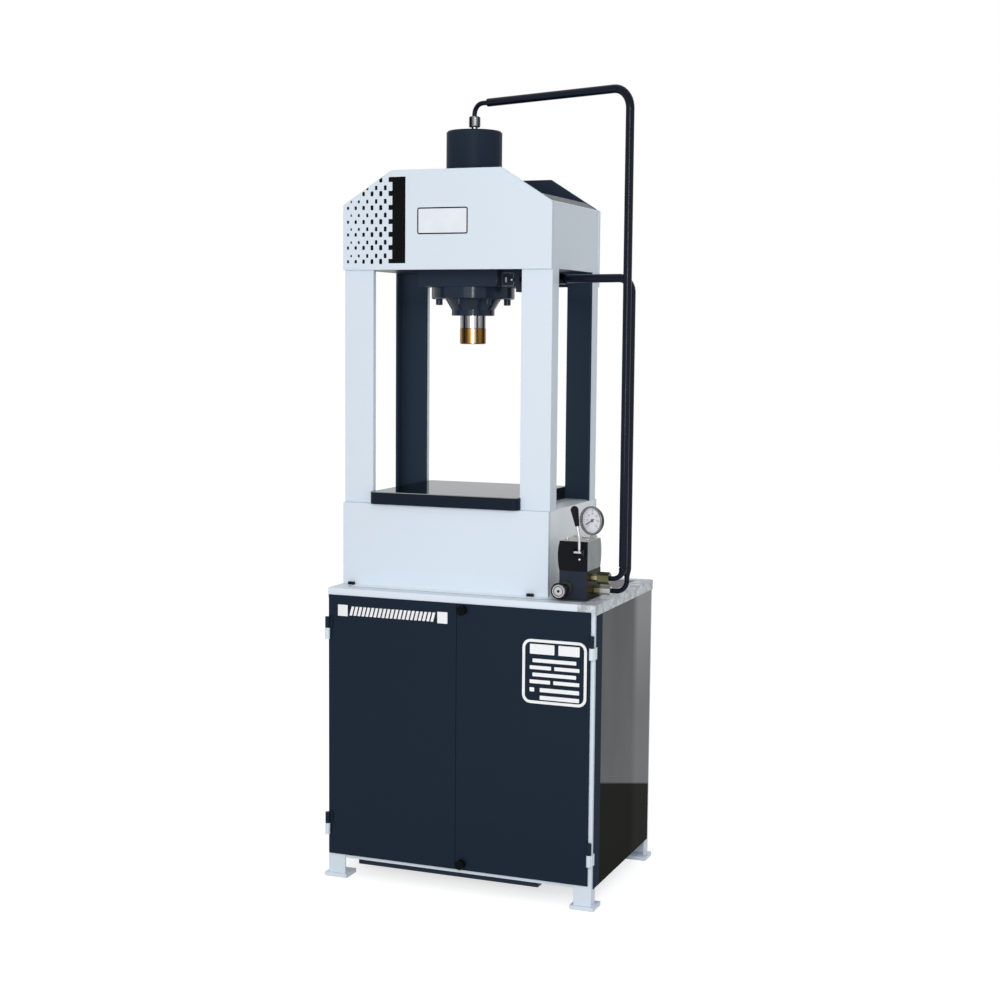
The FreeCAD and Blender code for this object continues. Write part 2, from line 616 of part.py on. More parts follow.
def table():
    """A plate whose front lip stands out over the base, notched to pass between the uprights."""
    depth = "(press_front + press_depth - table_front)"
    slab = body()
    block = pad(slab, outline(slab, "XY_Plane", [
        ("0", "0"), ("table_span", "0"), ("table_span", "table_lip"), ("table_span - table_notch", "table_lip"),
        ("table_span - table_notch", depth), ("table_notch", depth), ("table_notch", "table_lip"),
        ("0", "table_lip")]), "table_wall")
    corners = [name for name in edges_along(block.Shape, (0, 0, 1))
               if block.Shape.getElement(name).Vertexes[0].Y < 1]
    rounded = eased(slab, block, "Fillet", corners, "table_round")
    top_edges = ["Edge%d" % number for number, edge in enumerate(rounded.Shape.Edges, 1)
                 if min(v.Z for v in edge.Vertexes) > worth("table_wall") - 0.01]
    eased(slab, rounded, "Chamfer", top_edges, "table_bevel")
    piece(slab, "table", "table_left", "table_front", "base_top")


def upright(side, end):
    """An L section behind the head's plate: a thick face and a thin flange along the outer side."""
    rise = "head_bottom + cheek_lift - base_top"
    face = box(press_across(side, "upright_inset", "upright_face"), press_along(end, "plate_wall", "upright_wall"),
               "base_top", "upright_face", "upright_wall", rise)
    flange = box(press_across(side, "upright_inset", "sheet_wall"), press_along(end, "plate_wall", "upright_side"),
                 "base_top", "sheet_wall", "upright_side", rise)
    piece(fuse(face, flange), "%s_%s_upright" % (end, side))


def head_plate(end):
    drop = "0" if end == "front" else "0 - head_drop"
    shoulder, top = "head_shoulder - head_bottom", "head_top - head_bottom"
    outer = plate("XZ_Plane", [
        ("0", drop), ("press_width", drop), ("press_width", shoulder), ("press_width - slope_run", top),
        ("slope_run", top), ("0", shoulder)], "plate_wall")
    piece(outer, "head_%s_plate" % end, "press_left", press_along(end, "0", "plate_wall"), "head_bottom")


def cheek(side):
    """A side plate of the head whose top edge is folded over to follow the slope."""
    shoulder = "head_shoulder - head_bottom - cheek_lift"
    tip = "lip_run - side_inset"
    drop = "sheet_wall * sqrt(1 + %s ^ 2)" % slope
    profile = [
        ("0", "0"), ("0", shoulder), (tip, "%s + (%s) * %s" % (shoulder, tip, slope)),
        (tip, "%s + (%s) * %s - %s" % (shoulder, tip, slope, drop)),
        ("sheet_wall", "%s + sheet_wall * %s - %s" % (shoulder, slope, drop)), ("sheet_wall", "0")]
    if side == "right":
        profile = [("press_width - 2 * side_inset - (%s)" % x, z) for x, z in profile]
    wall = plate("XZ_Plane", profile, "press_depth - 2 * plate_wall")
    piece(wall, "head_%s_cheek" % side, "press_left + side_inset", "press_front + plate_wall", "head_bottom + cheek_lift")


def crosshead():
    """The thick plate that carries the cylinder, with a square pad below, bored for the barrel and the screws."""
    half_width = "(press_width / 2 - side_inset - sheet_wall)"
    half_depth = "(press_depth / 2 - plate_wall)"
    slab = plate("XY_Plane", [
        ("0 - " + half_width, "0 - " + half_depth), (half_width, "0 - " + half_depth),
        (half_width, half_depth), ("0 - " + half_width, half_depth)], "crosshead_wall")
    pad(slab, outline(slab, "XY_Plane", [("0 - pad_half", "0 - pad_half"), ("pad_half", "0 - pad_half"),
                                         ("pad_half", "pad_half"), ("0 - pad_half", "pad_half")]),
        "head_bottom + cheek_lift - pad_bottom", True)
    pocket(slab, circle(slab, "XY_Plane", "barrel_radius"))
    repeat_round(slab, pocket(slab, circle(slab, "XY_Plane", "screw_radius", "screw_circle")), 8)
    piece(slab, "crosshead_plate", press_middle, press_centre, "head_bottom + cheek_lift")


# ---- cylinder ----

def cylinder():
    barrel = turned([
        ("bore_radius", "flange_bottom"), ("barrel_radius", "flange_bottom"), ("barrel_radius", "barrel_top - 4"),
        ("barrel_radius - 4", "barrel_top"), ("line_radius", "barrel_top"), ("line_radius", "barrel_top - cap_wall"),
        ("bore_radius", "barrel_top - cap_wall")])
    piece(barrel, "cylinder_barrel", press_middle, press_centre, "0")
    flange = turned([
        ("barrel_radius", "0"), ("flange_radius - 3", "0"), ("flange_radius", "3"),
        ("flange_radius", "pad_bottom - flange_bottom"), ("barrel_radius", "pad_bottom - flange_bottom")])
    repeat_round(flange, pocket(flange, circle(flange, "XY_Plane", "screw_radius", "screw_circle")), 8)
    piece(flange, "cylinder_flange", press_middle, press_centre, "flange_bottom")
    screws, sockets = [], []
    for number in range(8):
        x = "%s + screw_circle * cos(%d)" % (press_middle, 45 * number)
        y = "%s + screw_circle * sin(%d)" % (press_centre, 45 * number)
        low = "flange_bottom - screw_rise"
        screws.append(rod("screw_head", "screw_rise", x, y, low))
        screws.append(rod("screw_radius", "head_bottom + cheek_lift + crosshead_wall - flange_bottom", x, y,
                          "flange_bottom"))
        sockets.append(hexagon("screw_radius - 0.4", "6", x, y, low))
    piece(cut(fuse(*screws), *sockets), "flange_screws")
    gland = turned([
        ("ram_radius + running_fit", "gland_bottom"), ("gland_radius - 1.5", "gland_bottom"),
        ("gland_radius", "gland_bottom + 1.5"), ("gland_radius", "gland_step"), ("barrel_radius", "flange_bottom"),
        ("bore_radius - running_fit", "flange_bottom"), ("bore_radius - running_fit", "gland_top"),
        ("ram_radius + running_fit", "gland_top")])
    piece(gland, "gland", press_middle, press_centre, "0")


def ram():
    """One turned rod: spigot for the nose, polished rod and the piston with its two seal grooves."""
    piston = [("bore_radius - running_fit", "piston_bottom")]
    for low in ("piston_bottom + 10", "piston_bottom + 24"):
        piston += [("bore_radius - running_fit", low), ("bore_radius - 4", low),
                   ("bore_radius - 4", low + " + 6"), ("bore_radius - running_fit", low + " + 6")]
    rod_profile = [
        ("0", "ram_bottom - 22"), ("spigot_radius", "ram_bottom - 22"), ("spigot_radius", "ram_bottom"),
        ("ram_radius - 1", "ram_bottom"), ("ram_radius", "ram_bottom + 1"), ("ram_radius", "piston_bottom")]
    piece(turned(rod_profile + piston + [("bore_radius - running_fit", "piston_top"), ("0", "piston_top")]),
          "ram", press_middle, press_centre, "0")
    nose = turned([
        ("0", "nose_bottom"), ("nose_radius - 2", "nose_bottom"), ("nose_radius", "nose_bottom + 2"),
        ("nose_radius", "ram_bottom"), ("spigot_radius", "ram_bottom"), ("spigot_radius", "ram_bottom - 22"),
        ("0", "ram_bottom - 22")])
    piece(nose, "ram_nose", press_middle, press_centre, "0")


def ports():
    """The block beside the crosshead's pad with two plugs in its front, and the nut on top of the barrel."""
    roof = "head_bottom + cheek_lift - pad_bottom"
    step = "port_bottom - pad_bottom"
    block = plate("XZ_Plane", [
        ("pad_half", "0"), ("port_step", "0"), ("port_step", step), ("port_reach", step), ("port_reach", roof),
        ("pad_half", roof)], "port_depth")
    move(block, press_middle, "port_front", "pad_bottom")
    plugs = [rod(radius, "4", "%s + pad_half + %s" % (press_middle, x), "port_front - 4", "pad_bottom + 17", (0, 1, 0))
             for radius, x in (("7", "12"), ("5", "27"))]
    piece(fuse(block, *plugs), "port_block")
    foot = rod("collar_radius + 4", "3", press_middle, press_centre, "barrel_top")
    collar = rod("collar_radius", "nut_low", press_middle, press_centre, "barrel_top")
    hexagonal = hexagon("nut_radius", "nut_rise", press_middle, press_centre, "barrel_top + nut_low")
    bevels = turned([
        ("0", "0"), ("nut_radius - nut_bevel", "0"), ("nut_radius", "nut_bevel"), ("nut_radius", "nut_rise - nut_bevel"),
        ("nut_radius - nut_bevel", "nut_rise"), ("0", "nut_rise")])
    move(bevels, press_middle, press_centre, "barrel_top + nut_low")
    nut = doc.addObject("Part::MultiCommon", "Common")
    nut.Shapes = [hexagonal, bevels]
    bore = rod("line_radius", "60", press_middle, press_centre, "barrel_top - 1")
    piece(cut(fuse(foot, collar, nut), bore), "top_fitting")


# ---- valve group ----

def beveled_block(width, depth, rise):
    solid = body()
    block = pad(solid, outline(solid, "XY_Plane", [("0", "0"), (width, "0"), (width, depth), ("0", depth)]), rise)
    eased(solid, block, "Chamfer", ["Edge%d" % (n + 1) for n in range(len(block.Shape.Edges))], "1.2")
    return solid


def bulged_body(front):
    """The valve's cast body: a block whose left and rear sides swell between top and bottom."""
    block = box("block_left - valve_bulge", front, block_top, "valve_width + valve_bulge",
                "valve_depth + valve_belly", "valve_rise")
    swell = "((valve_rise ^ 2 / 4 + %s ^ 2) / (2 * %s))"
    middle = block_top + " + valve_rise / 2"
    left = swell % ("valve_bulge", "valve_bulge")
    rear = swell % ("valve_belly", "valve_belly")
    sides = rod(left, "valve_depth + 20", "block_left - valve_bulge + " + left, front + " - 5", middle, (0, 1, 0))
    back = rod(rear, "valve_width + 20", "block_left - 10", front + " + valve_depth + valve_belly - " + rear, middle,
               (1, 0, 0))
    common = doc.addObject("Part::MultiCommon", "Common")
    common.Shapes = [block, sides, back]
    common.Refine = True
    return common


def valves():
    piece(beveled_block("block_width", "block_depth", "block_rise"), "manifold_block", "block_left", "block_front",
          "deck_height")
    front = "block_front + 1"
    parts = [bulged_body(front)]
    inner = "lever_across - lever_span / 2 - lever_offset - running_fit"
    outer = "lever_across + lever_span / 2 - lever_offset + running_fit"
    for near in (inner + " - lug_wall", outer):
        parts.append(box(near, "lever_front - 6", "lever_low - 7", "lug_wall", front + " - lever_front + 7", "14"))
    parts.append(rod("lever_pin", "lever_span + 1", "lever_across - lever_span / 2 - lever_offset - 0.5",
                     "lever_front", "lever_low", (1, 0, 0)))
    piece(fuse(*parts), "valve_body")
    relief = turned([
        ("0", "0"), ("18", "0"), ("18", "5"), ("12", "6"), ("12", "22"), ("14.5", "22"), ("14.5", "30"), ("9", "32"),
        ("9", "37"), ("5", "37"), ("5", "48"), ("0", "48")], (0, -1, 0))
    piece(relief, "relief_valve", "relief_across", "block_front", "relief_height")
    knob = turned([
        ("5 + running_fit", "0"), ("relief_knob - 1", "0"), ("relief_knob", "1"), ("relief_knob", "13.5"),
        ("relief_knob - 1.5", "15"), ("11.5", "15"), ("11", "14"), ("0", "14"), ("0", "11.5"),
        ("5 + running_fit", "11.5")], (0, -1, 0))
    piece(knob, "relief_knob", "relief_across", "block_front - 37.3", "relief_height")


def lever():
    """A rod on a cross bar that turns on the pin, leaning to the left above its bend, in a drop-shaped grip."""
    elbow = FreeCAD.Vector(-1, 0, 38)
    tip = elbow + FreeCAD.Vector(-13, 0, 66)
    places = [FreeCAD.Vector(), elbow, tip]
    stick = swept(route(places, [60]), places, worth("lever_radius"))
    right = FreeCAD.Vector(1, 0, 0)
    start = right * worth("0 - lever_span / 2 - lever_offset")
    bar = Part.makeCylinder(worth("lever_boss"), worth("lever_span"), start, right)
    bore = Part.makeCylinder(worth("lever_pin + running_fit"), worth("lever_span + 4"), start - right * 2, right)
    arm = stick.fuse(bar).cut(bore).removeSplitter()
    slope_way = (tip - elbow).normalize()
    low = tip - slope_way * 42
    round_end, neck, length = 9.5, 5.2, 38.3
    lean = math.atan((round_end - neck) / length)
    cone = Part.makeCone(neck, round_end * math.cos(lean), length, low, slope_way)
    ball = Part.makeSphere(round_end, low + slope_way * (length + round_end * math.sin(lean)))
    pivot = point("lever_across", "lever_front", "lever_low")
    shaped("lever", arm, pivot)
    shaped("lever_grip", cone.fuse(ball).cut(stick).removeSplitter(), pivot)


def dial_place(depth):
    """A place behind the middle of the gauge's face, which looks a little to the left."""
    return ("gauge_across + (%s) * sin(gauge_turn)" % depth, "gauge_face + (%s) * cos(gauge_turn)" % depth,
            "gauge_height")


def gauge():
    """The case opens to the front: bezel ring, a dial floor inside it, a needle on its pivot and the lens."""
    turn = math.radians(worth("gauge_turn"))
    inwards = (math.sin(turn), math.cos(turn), 0)
    outwards = (-inwards[0], -inwards[1], 0)
    floor = "gauge_depth - 7"
    case = turned([
        ("0", "0"), ("gauge_case - 4", "0"), ("gauge_case", "4"), ("gauge_case", "gauge_depth - 8"),
        ("gauge_radius", "gauge_depth - 8"), ("gauge_radius", "gauge_depth - 1"), ("gauge_radius - 1", "gauge_depth"),
        ("gauge_case - 0.5", "gauge_depth"), ("gauge_case - 0.5", floor), ("2", floor), ("2", floor + " + 2"),
        ("0", floor + " + 2")], outwards)
    move(case, *dial_place("gauge_depth"))
    stem_x, stem_y, height = dial_place("gauge_depth - 5")
    stem = rod("6", "gauge_height - gauge_case + 2 - " + valve_top, stem_x, stem_y, valve_top)
    nut = hexagon("9", "9", stem_x, stem_y, valve_top)
    piece(fuse(case, stem, nut), "gauge_case")
    needle = fuse(rod("4", "1.4", "0", "0", "0"), box("0 - 7", "0 - 1.2", "0", "30", "2.4", "1.4"))
    pin = rod("2 + running_fit", "4", "0", "0", "0 - 1")
    pointer = cut(needle, pin)
    up = FreeCAD.Vector(0, 0, 1)
    pointer.Placement.Rotation = (FreeCAD.Rotation(up, -worth("gauge_turn")) * FreeCAD.Rotation(
        FreeCAD.Vector(1, 0, 0), 90) * FreeCAD.Rotation(up, worth("needle_rest")))
    piece(pointer, "gauge_needle", *dial_place("6.7"))
    lens = rod("gauge_case - 0.5", "1.6", *dial_place("0.6"), towards=inwards)
    piece(lens, "gauge_lens")


for end in ("front", "rear"):
    for side in ("left", "right"):
        leg(side, end)
        upright(side, end)
    head_plate(end)
rims()
deck()
panels()
drip_tray()
for side in ("left", "right"):
    door(side)
    cheek(side)
catch("lower_door_catch", "catch_low", "panel_sheet + 2 * angle_wall + 0.4")
catch("upper_door_catch", "catch_high", "angle_wall + 0.4")
tank()
motor()
pump()
filler()
inside_lines()
base()
table()
crosshead()
cylinder()
ram()
ports()
outside_lines()
valves()
lever()
gauge()
doc.recompute()

for thing in doc.Objects:
    assert "Invalid" not in thing.State and "Error" not in thing.State, (thing.Label, thing.State)
for thing in pieces:
    assert not thing.Shape.isNull() and thing.Shape.isValid(), thing.Label

os.makedirs("parts", exist_ok=True)
for thing in pieces:
    thing.Shape.exportStep(os.path.join("parts", thing.Label + ".step"))
    print("%-20s %9.0f mm3  %d solid(s)" % (thing.Label, thing.Shape.Volume, len(thing.Shape.Solids)))
print(len(pieces), "pieces")
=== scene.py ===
import math
import bmesh
import bpy
import numpy as np
from mathutils import Matrix, Vector


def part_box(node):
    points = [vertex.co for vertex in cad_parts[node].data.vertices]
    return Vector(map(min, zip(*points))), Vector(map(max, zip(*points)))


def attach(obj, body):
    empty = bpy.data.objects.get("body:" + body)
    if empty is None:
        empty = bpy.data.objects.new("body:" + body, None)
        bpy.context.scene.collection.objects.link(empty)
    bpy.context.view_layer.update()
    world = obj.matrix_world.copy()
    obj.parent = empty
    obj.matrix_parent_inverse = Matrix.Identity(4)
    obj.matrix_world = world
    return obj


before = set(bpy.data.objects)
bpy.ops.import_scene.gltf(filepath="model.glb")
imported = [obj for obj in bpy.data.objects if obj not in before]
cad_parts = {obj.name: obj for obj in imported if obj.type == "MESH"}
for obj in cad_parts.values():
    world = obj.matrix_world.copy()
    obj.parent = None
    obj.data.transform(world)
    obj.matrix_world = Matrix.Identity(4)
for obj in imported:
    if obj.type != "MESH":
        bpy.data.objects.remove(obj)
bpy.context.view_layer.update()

cornerX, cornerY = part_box("top_front_rail")[0][:2]  # places are measured from the cabinet's front left corner
scene = bpy.context.scene
scene.view_settings.view_transform = "Standard"


def place(x, y, z):  # millimetres from the cabinet's corner to metres in the part's frame
    return np.array((cornerX + x / 1000, cornerY + y / 1000, z / 1000))


def tone(red, green, blue):  # a colour as a screen shows it, 0 to 255, to the shader's own scale
    parts = [part / 255 for part in (red, green, blue)]
    lit = [part / 12.92 if part <= 0.04045 else ((part + 0.055) / 1.055) ** 2.4 for part in parts]
    return tuple(lit) + (1.0,)


def darker(colour, share):
    return tuple(part * share for part in colour[:3]) + (1.0,)


metalLevel = 0.6


def metalTone(red, green, blue):  # a metal shows the white room, so its own colour is lower
    return darker(tone(red, green, blue), metalLevel)


cameraPlace = {"x": 1928.95, "y": -3747.56, "z": 1365.08, "turn": 21.438, "tilt": 84.441, "roll": 0.495,
               "lens": 61.26, "sensor": 36, "farthest": 60}


def setCamera(sizes):
    data = bpy.data.cameras.new("photoCamera")
    data.sensor_width = sizes["sensor"]
    data.lens = sizes["lens"]
    data.clip_end = sizes["farthest"]
    camera = bpy.data.objects.new("photoCamera", data)
    scene.collection.objects.link(camera)
    turn, tilt, roll = (Matrix.Rotation(math.radians(sizes[name]), 4, axis)
                        for name, axis in (("turn", "Z"), ("tilt", "X"), ("roll", "Z")))
    spot = Matrix.Translation(place(sizes["x"], sizes["y"], sizes["z"]))
    camera.matrix_world = spot @ (turn @ tilt @ roll)
    scene.camera = camera


setCamera(cameraPlace)
print("camera set")


class Value:  # a number that changes over a surface; + - * / and the comparisons add Math nodes
    def __init__(self, owner, socket):
        self.owner = owner
        self.socket = socket

    def math(self, operation, *others, clamp=False):
        values = dict(enumerate((self,) + others))
        return self.owner.add("Math", {"operation": operation, "use_clamp": clamp}, values)

    def __add__(self, other):
        return self.math("ADD", other)

    def __sub__(self, other):
        return self.math("SUBTRACT", other)

    def __mul__(self, other):
        return self.math("MULTIPLY", other)

    def __truediv__(self, other):
        return self.math("DIVIDE", other)

    def __rsub__(self, other):
        return self.owner.add("Math", {"operation": "SUBTRACT"}, {0: other, 1: self})

    def __gt__(self, other):
        return self.math("GREATER_THAN", other)

    def __lt__(self, other):
        return self.math("LESS_THAN", other)

    __radd__ = __add__
    __rmul__ = __mul__

    def most(self, other):
        return self.math("MAXIMUM", other)

    def clamped(self):
        return self.math("ADD", 0.0, clamp=True)

    def above(self, edge, width):  # 0 below the edge, 1 above it, eased over the width given
        return ((self - edge) / width + 0.5).clamped()


class Nodes:  # the nodes of a material or of the world; add makes every one of them
    def __init__(self, tree):
        self.tree = tree

    def add(self, kind, settings=None, inputs=None, output=0):
        made = self.tree.nodes.new("ShaderNode" + kind)
        for name, value in (settings or {}).items():
            setattr(made, name, value)
        for name, value in (inputs or {}).items():
            self.plug(made.inputs[name], value)
        return Value(self, made.outputs[output])

    def plug(self, socket, value):
        if isinstance(value, Value):
            self.tree.links.new(value.socket, socket)
        else:
            socket.default_value = value

    def seen(self):  # 1 for rays from the camera, through glass or off a glossy surface, 0 for the rest
        camera, through, gloss = (self.add("LightPath", output="Is %s Ray" % kind)
                                  for kind in ("Camera", "Transmission", "Glossy"))
        return camera.most(through).most(gloss)


socketNames = {"baseColor": "Base Color", "roughness": "Roughness", "metallic": "Metallic",
               "normal": "Normal", "alpha": "Alpha", "coatWeight": "Coat Weight",
               "coatRoughness": "Coat Roughness", "specular": "Specular IOR Level",
               "specularTint": "Specular Tint", "glow": "Emission Color", "glowStrength": "Emission Strength"}


class Finish(Nodes):  # one material around a Principled shader
    def __init__(self, name, **shaderValues):
        self.material = bpy.data.materials.new(name)
        self.material.use_nodes = True
        super().__init__(self.material.node_tree)
        self.shader = self.tree.nodes["Principled BSDF"]
        self.set(**shaderValues)
        self.spots = {}

    def set(self, **values):
        for name, value in values.items():
            self.plug(self.shader.inputs[socketNames[name]], value)

    def spot(self, axis):  # X, Y or Z of the place on the piece, in metres, or the whole place
        if "object" not in self.spots:
            self.spots["object"] = self.add("TexCoord", output="Object")
            for letter in "XYZ":
                self.spots[letter] = self.add("SeparateXYZ", {}, {0: self.spots["object"]}, letter)
        return self.spots[axis]

    def mm(self, axis):  # X, Y or Z in millimetres from the cabinet's corner
        return (self.spot(axis) - float(place(0, 0, 0)["XYZ".index(axis)])) * 1000.0

    def noise(self, scale, detail, roughness=0.5, stretch=None):
        where = self.spot("object")
        if stretch:
            where = self.add("Mapping", {}, {"Vector": where, "Scale": stretch})
        values = {"Vector": where, "Scale": scale, "Detail": detail, "Roughness": roughness}
        return self.add("TexNoise", {}, values)

    def mix(self, factor, first, second):
        return self.add("Mix", {"data_type": "RGBA"}, {0: factor, 6: first, 7: second}, 2)

    def bump(self, height, distance, strength, normal):
        values = {"Height": height, "Distance": distance, "Strength": strength, "Normal": normal}
        return self.add("Bump", {}, values)

    def softEdge(self, radius):
        return self.add("Bevel", {"samples": 6}, {"Radius": radius})


def dress(finish, *names):
    for name in names:
        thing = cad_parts[name] if isinstance(name, str) else name
        thing.data.materials.clear()
        thing.data.materials.append(finish.material)


# the second, lighter navy is painted light high on the rear uprights, under the head
enamel = {"white": tone(218, 229, 240), "navy": tone(42, 56, 72), "paintedLightNavy": tone(57, 72, 90),
          "paintedLightFrom": (1482.0, 60.0), "cloud": (3.2, 3.0), "cloudFrom": (0.5, 0.5), "cloudDepth": 0.35,
          "cloudShare": 0.94,
          "fine": (46.0, 4.0), "fineGloss": 0.12, "cloudGloss": 0.08, "glossBase": 0.04, "peel": (260.0, 1.0),
          "peelDepth": 0.00004, "peelStrength": 0.5, "edge": 0.0012, "twoToneSpecular": 0.0558}
white, navy = enamel["white"], enamel["navy"]


def enamelFinish(name, colour, roughness=0.32, specular=0.22, dark=None, darkTone=None):
    # sprayed paint: a slow cloud in its colour, a fine grain in its gloss and orange peel in its surface;
    # where dark gives 1 it has the second tone
    finish = Finish(name, specular=specular)
    cloud = finish.noise(*enamel["cloud"])
    fine = finish.noise(*enamel["fine"])
    depth = cloud.above(*enamel["cloudFrom"]) * enamel["cloudDepth"]
    shade = finish.mix(depth, colour, darker(colour, enamel["cloudShare"]))
    if dark:
        shade = finish.mix(dark(finish), shade, darkTone(finish))
    gloss = (fine - 0.5) * enamel["fineGloss"] + cloud * enamel["cloudGloss"]
    peel = finish.noise(*enamel["peel"])
    edge = finish.softEdge(enamel["edge"])
    finish.set(baseColor=shade, roughness=gloss + (roughness - enamel["glossBase"]),
               normal=finish.bump(peel, enamel["peelDepth"], enamel["peelStrength"], edge))
    return finish


insideFaces = {  # where each piece is dark, in millimetres: its faces that look into the press
    "front plate": lambda f: f.mm("Y") > 87.1,
    "rear plate": lambda f: (f.mm("Y") < 433.0) * (f.mm("X") > 11.0) * (f.mm("X") < 545.1),
    "left cheek": lambda f: f.mm("X") > 10.8,
    "right cheek": lambda f: f.mm("X") < 545.3,
    "left front upright": lambda f: (f.mm("X") > 9.4) * (f.mm("Y") > 101.1),
    "right front upright": lambda f: (f.mm("X") < 546.7) * (f.mm("Y") > 101.1),
    "left rear upright": lambda f: ((f.mm("X") > 9.4) * (f.mm("Y") < 419.0)).most(f.mm("Y") < 387.5).most(
        (f.mm("X") > 81.3) * (f.mm("Z") > 1487.0)),
    "right rear upright": lambda f: ((f.mm("X") < 546.7) * (f.mm("Y") < 419.0)).most(f.mm("Y") < 387.5)}
twoToned = {"front plate": ("base_front_plate", "head_front_plate"),
            "rear plate": ("base_rear_plate", "head_rear_plate"),
            "left cheek": ("head_left_cheek",), "right cheek": ("head_right_cheek",),
            "left front upright": ("front_left_upright",), "right front upright": ("front_right_upright",),
            "left rear upright": ("rear_left_upright",), "right rear upright": ("rear_right_upright",)}


def evenNavy(finish):
    return navy


def paintedLightNavy(finish):  # painted light: lighter high up, under the head, to offset the head's shade
    return finish.mix(finish.mm("Z").above(*enamel["paintedLightFrom"]), navy, enamel["paintedLightNavy"])


for label, names in twoToned.items():
    darkTone = paintedLightNavy if "rear upright" in label else evenNavy
    dress(enamelFinish(label + " enamel", white, specular=enamel["twoToneSpecular"], dark=insideFaces[label],
                       darkTone=darkTone), *names)
whitePaint = enamelFinish("white enamel", white)
navyPaint = enamelFinish("dark enamel", tone(39, 50, 65), 0.35, 0.083)
doorPaint = enamelFinish("door enamel", tone(18, 32, 48), 0.35, 0.11)
dress(whitePaint, "front_left_leg", "front_right_leg", "rear_left_leg", "rear_right_leg", "bottom_rim")
# painted light: the base shell's white is lighter than the white enamel, to offset the shade of the valve group
# on its side
dress(enamelFinish("shell enamel with painted light", tone(236, 244, 250)), "base_shell")
dress(doorPaint, "left_door", "right_door")
dress(navyPaint, "oil_tank", "tank_lid", "drip_tray", "crosshead_plate", "port_block")

# the deck's main tone is painted light, lighter than the white enamel for the light the flat deck misses; the
# two greys are painted shade beside the valve group
deckPaintedLight = {"mainTone": tone(248, 252, 255), "dark": tone(88, 90, 92), "light": tone(122, 124, 126),
             "noise": (16.0, 4.0, 0.65), "wander": 40.0, "from": (590.0, 40.0), "lightFrom": (0.5, 0.3),
             "spread": 0.3, "roughness": 0.3, "specular": 0.11, "edge": 0.001}


def deckFinish(sizes):  # painted light and shade: pale in front and at the left, painted lighter than the white enamel, and painted shade in mottled dark grey beside the valve group
    finish = Finish("deck enamel", specular=sizes["specular"])
    shadeMottle = finish.noise(*sizes["noise"])
    paintedShade = (finish.mm("X") + shadeMottle * sizes["wander"]).above(*sizes["from"])
    grey = finish.mix(shadeMottle.above(*sizes["lightFrom"]), sizes["dark"], sizes["light"])
    finish.set(baseColor=finish.mix(paintedShade, sizes["mainTone"], grey),
               roughness=shadeMottle * sizes["spread"] + sizes["roughness"], normal=finish.softEdge(sizes["edge"]))
    return finish


rimPatches = {"mainTone": tone(222, 232, 242), "greyed": tone(150, 151, 154), "noise": (42.0, 4.0, 0.7),
            "from": 655.0, "greyedFrom": (0.46, 0.25), "share": 0.75, "spread": 0.2, "roughness": 0.25,
            "specular": 0.165}


def rimFinish(sizes):  # the right-hand side of the angle frame is greyer than its front, in mottled patches
    finish = Finish("rim enamel", specular=sizes["specular"])
    patchNoise = finish.noise(*sizes["noise"])
    greyed = (finish.mm("X") > sizes["from"]) * patchNoise.above(*sizes["greyedFrom"]) * sizes["share"]
    finish.set(baseColor=finish.mix(greyed, sizes["mainTone"], sizes["greyed"]),
               roughness=patchNoise * sizes["spread"] + sizes["roughness"], normal=finish.softEdge(enamel["edge"]))
    return finish


dress(deckFinish(deckPaintedLight), "deck_plate")
dress(rimFinish(rimPatches), "top_rim", "top_front_rail")

# the greys above the line and the paler rear tones are painted reflection on the black panels
panelReflection = {"line": 312.0, "slant": 0.2462, "blend": 5.0, "band": 55.0, "bandColour": tone(44, 56, 71),
              "grey": tone(64, 67, 69), "pale": tone(82, 85, 88), "black": tone(35, 35, 33),
              "rearFrom": (325.0, 45.0), "rearGrey": tone(141, 142, 144), "rearBlack": tone(46, 46, 44),
              "lightFrom": 420.0, "lightOver": 250.0, "lightRise": 0.6, "lightLeast": 0.4,
              "reflectionMottle": (5.0, 4.0, 0.55, (1, 1.0, 0.35)), "paleFrom": (0.5, 0.35), "spread": 0.2,
              "roughness": 0.3, "coat": 0.3, "leastCoat": 0.03, "coatRoughness": 0.08}


def panelFinish(name, sizes):
    # black gloss over black: the grey above a slanting line is a painted reflection in mottled pale patches;
    # both tones are painted paler towards the rear, the grey also towards the top; deep black below the line,
    # and a bare band at the front edge
    finish = Finish(name, specular=0, coatRoughness=sizes["coatRoughness"])
    height = finish.mm("Z") + finish.mm("Y") * sizes["slant"]
    reflectionMottle = finish.noise(*sizes["reflectionMottle"])
    upper = height.above(sizes["line"], sizes["blend"])
    band = finish.mm("Y") < sizes["band"]
    rear = finish.mm("Y").above(*sizes["rearFrom"])
    rise = ((finish.mm("Z") - sizes["lightFrom"]) / sizes["lightOver"]).clamped()
    light = rear * (rise * sizes["lightRise"] + sizes["lightLeast"])
    grey = finish.mix(reflectionMottle.above(*sizes["paleFrom"]), sizes["grey"], sizes["pale"])
    grey = finish.mix(light, grey, sizes["rearGrey"])
    black = finish.mix(rear, sizes["black"], sizes["rearBlack"])
    shade = finish.mix(upper, black, grey)
    finish.set(baseColor=finish.mix(band, shade, sizes["bandColour"]),
               roughness=(reflectionMottle - 0.5) * sizes["spread"] + sizes["roughness"],
               coatWeight=upper * (1.0 - band) * sizes["coat"] + sizes["leastCoat"],
               normal=finish.softEdge(enamel["edge"]))
    return finish


dress(panelFinish("panel enamel with painted reflection", panelReflection), "left_side_panel", "right_side_panel", "back_panel")
print("painted steel dressed")

metalLook = {"cloud": (14.0, 4.0), "cloudShare": 0.86, "even": (220.0, 3.0, 0.6), "drawn": (90.0, 3.0, 0.6),
             "grainDepth": 0.00001, "grainStrength": 0.4, "spread": 0.1, "edge": 0.0006}
plainLook = {"cloud": (20.0, 3.0), "cloudShare": 0.8, "spread": 0.15, "strength": 0.5, "edge": 0.0008}


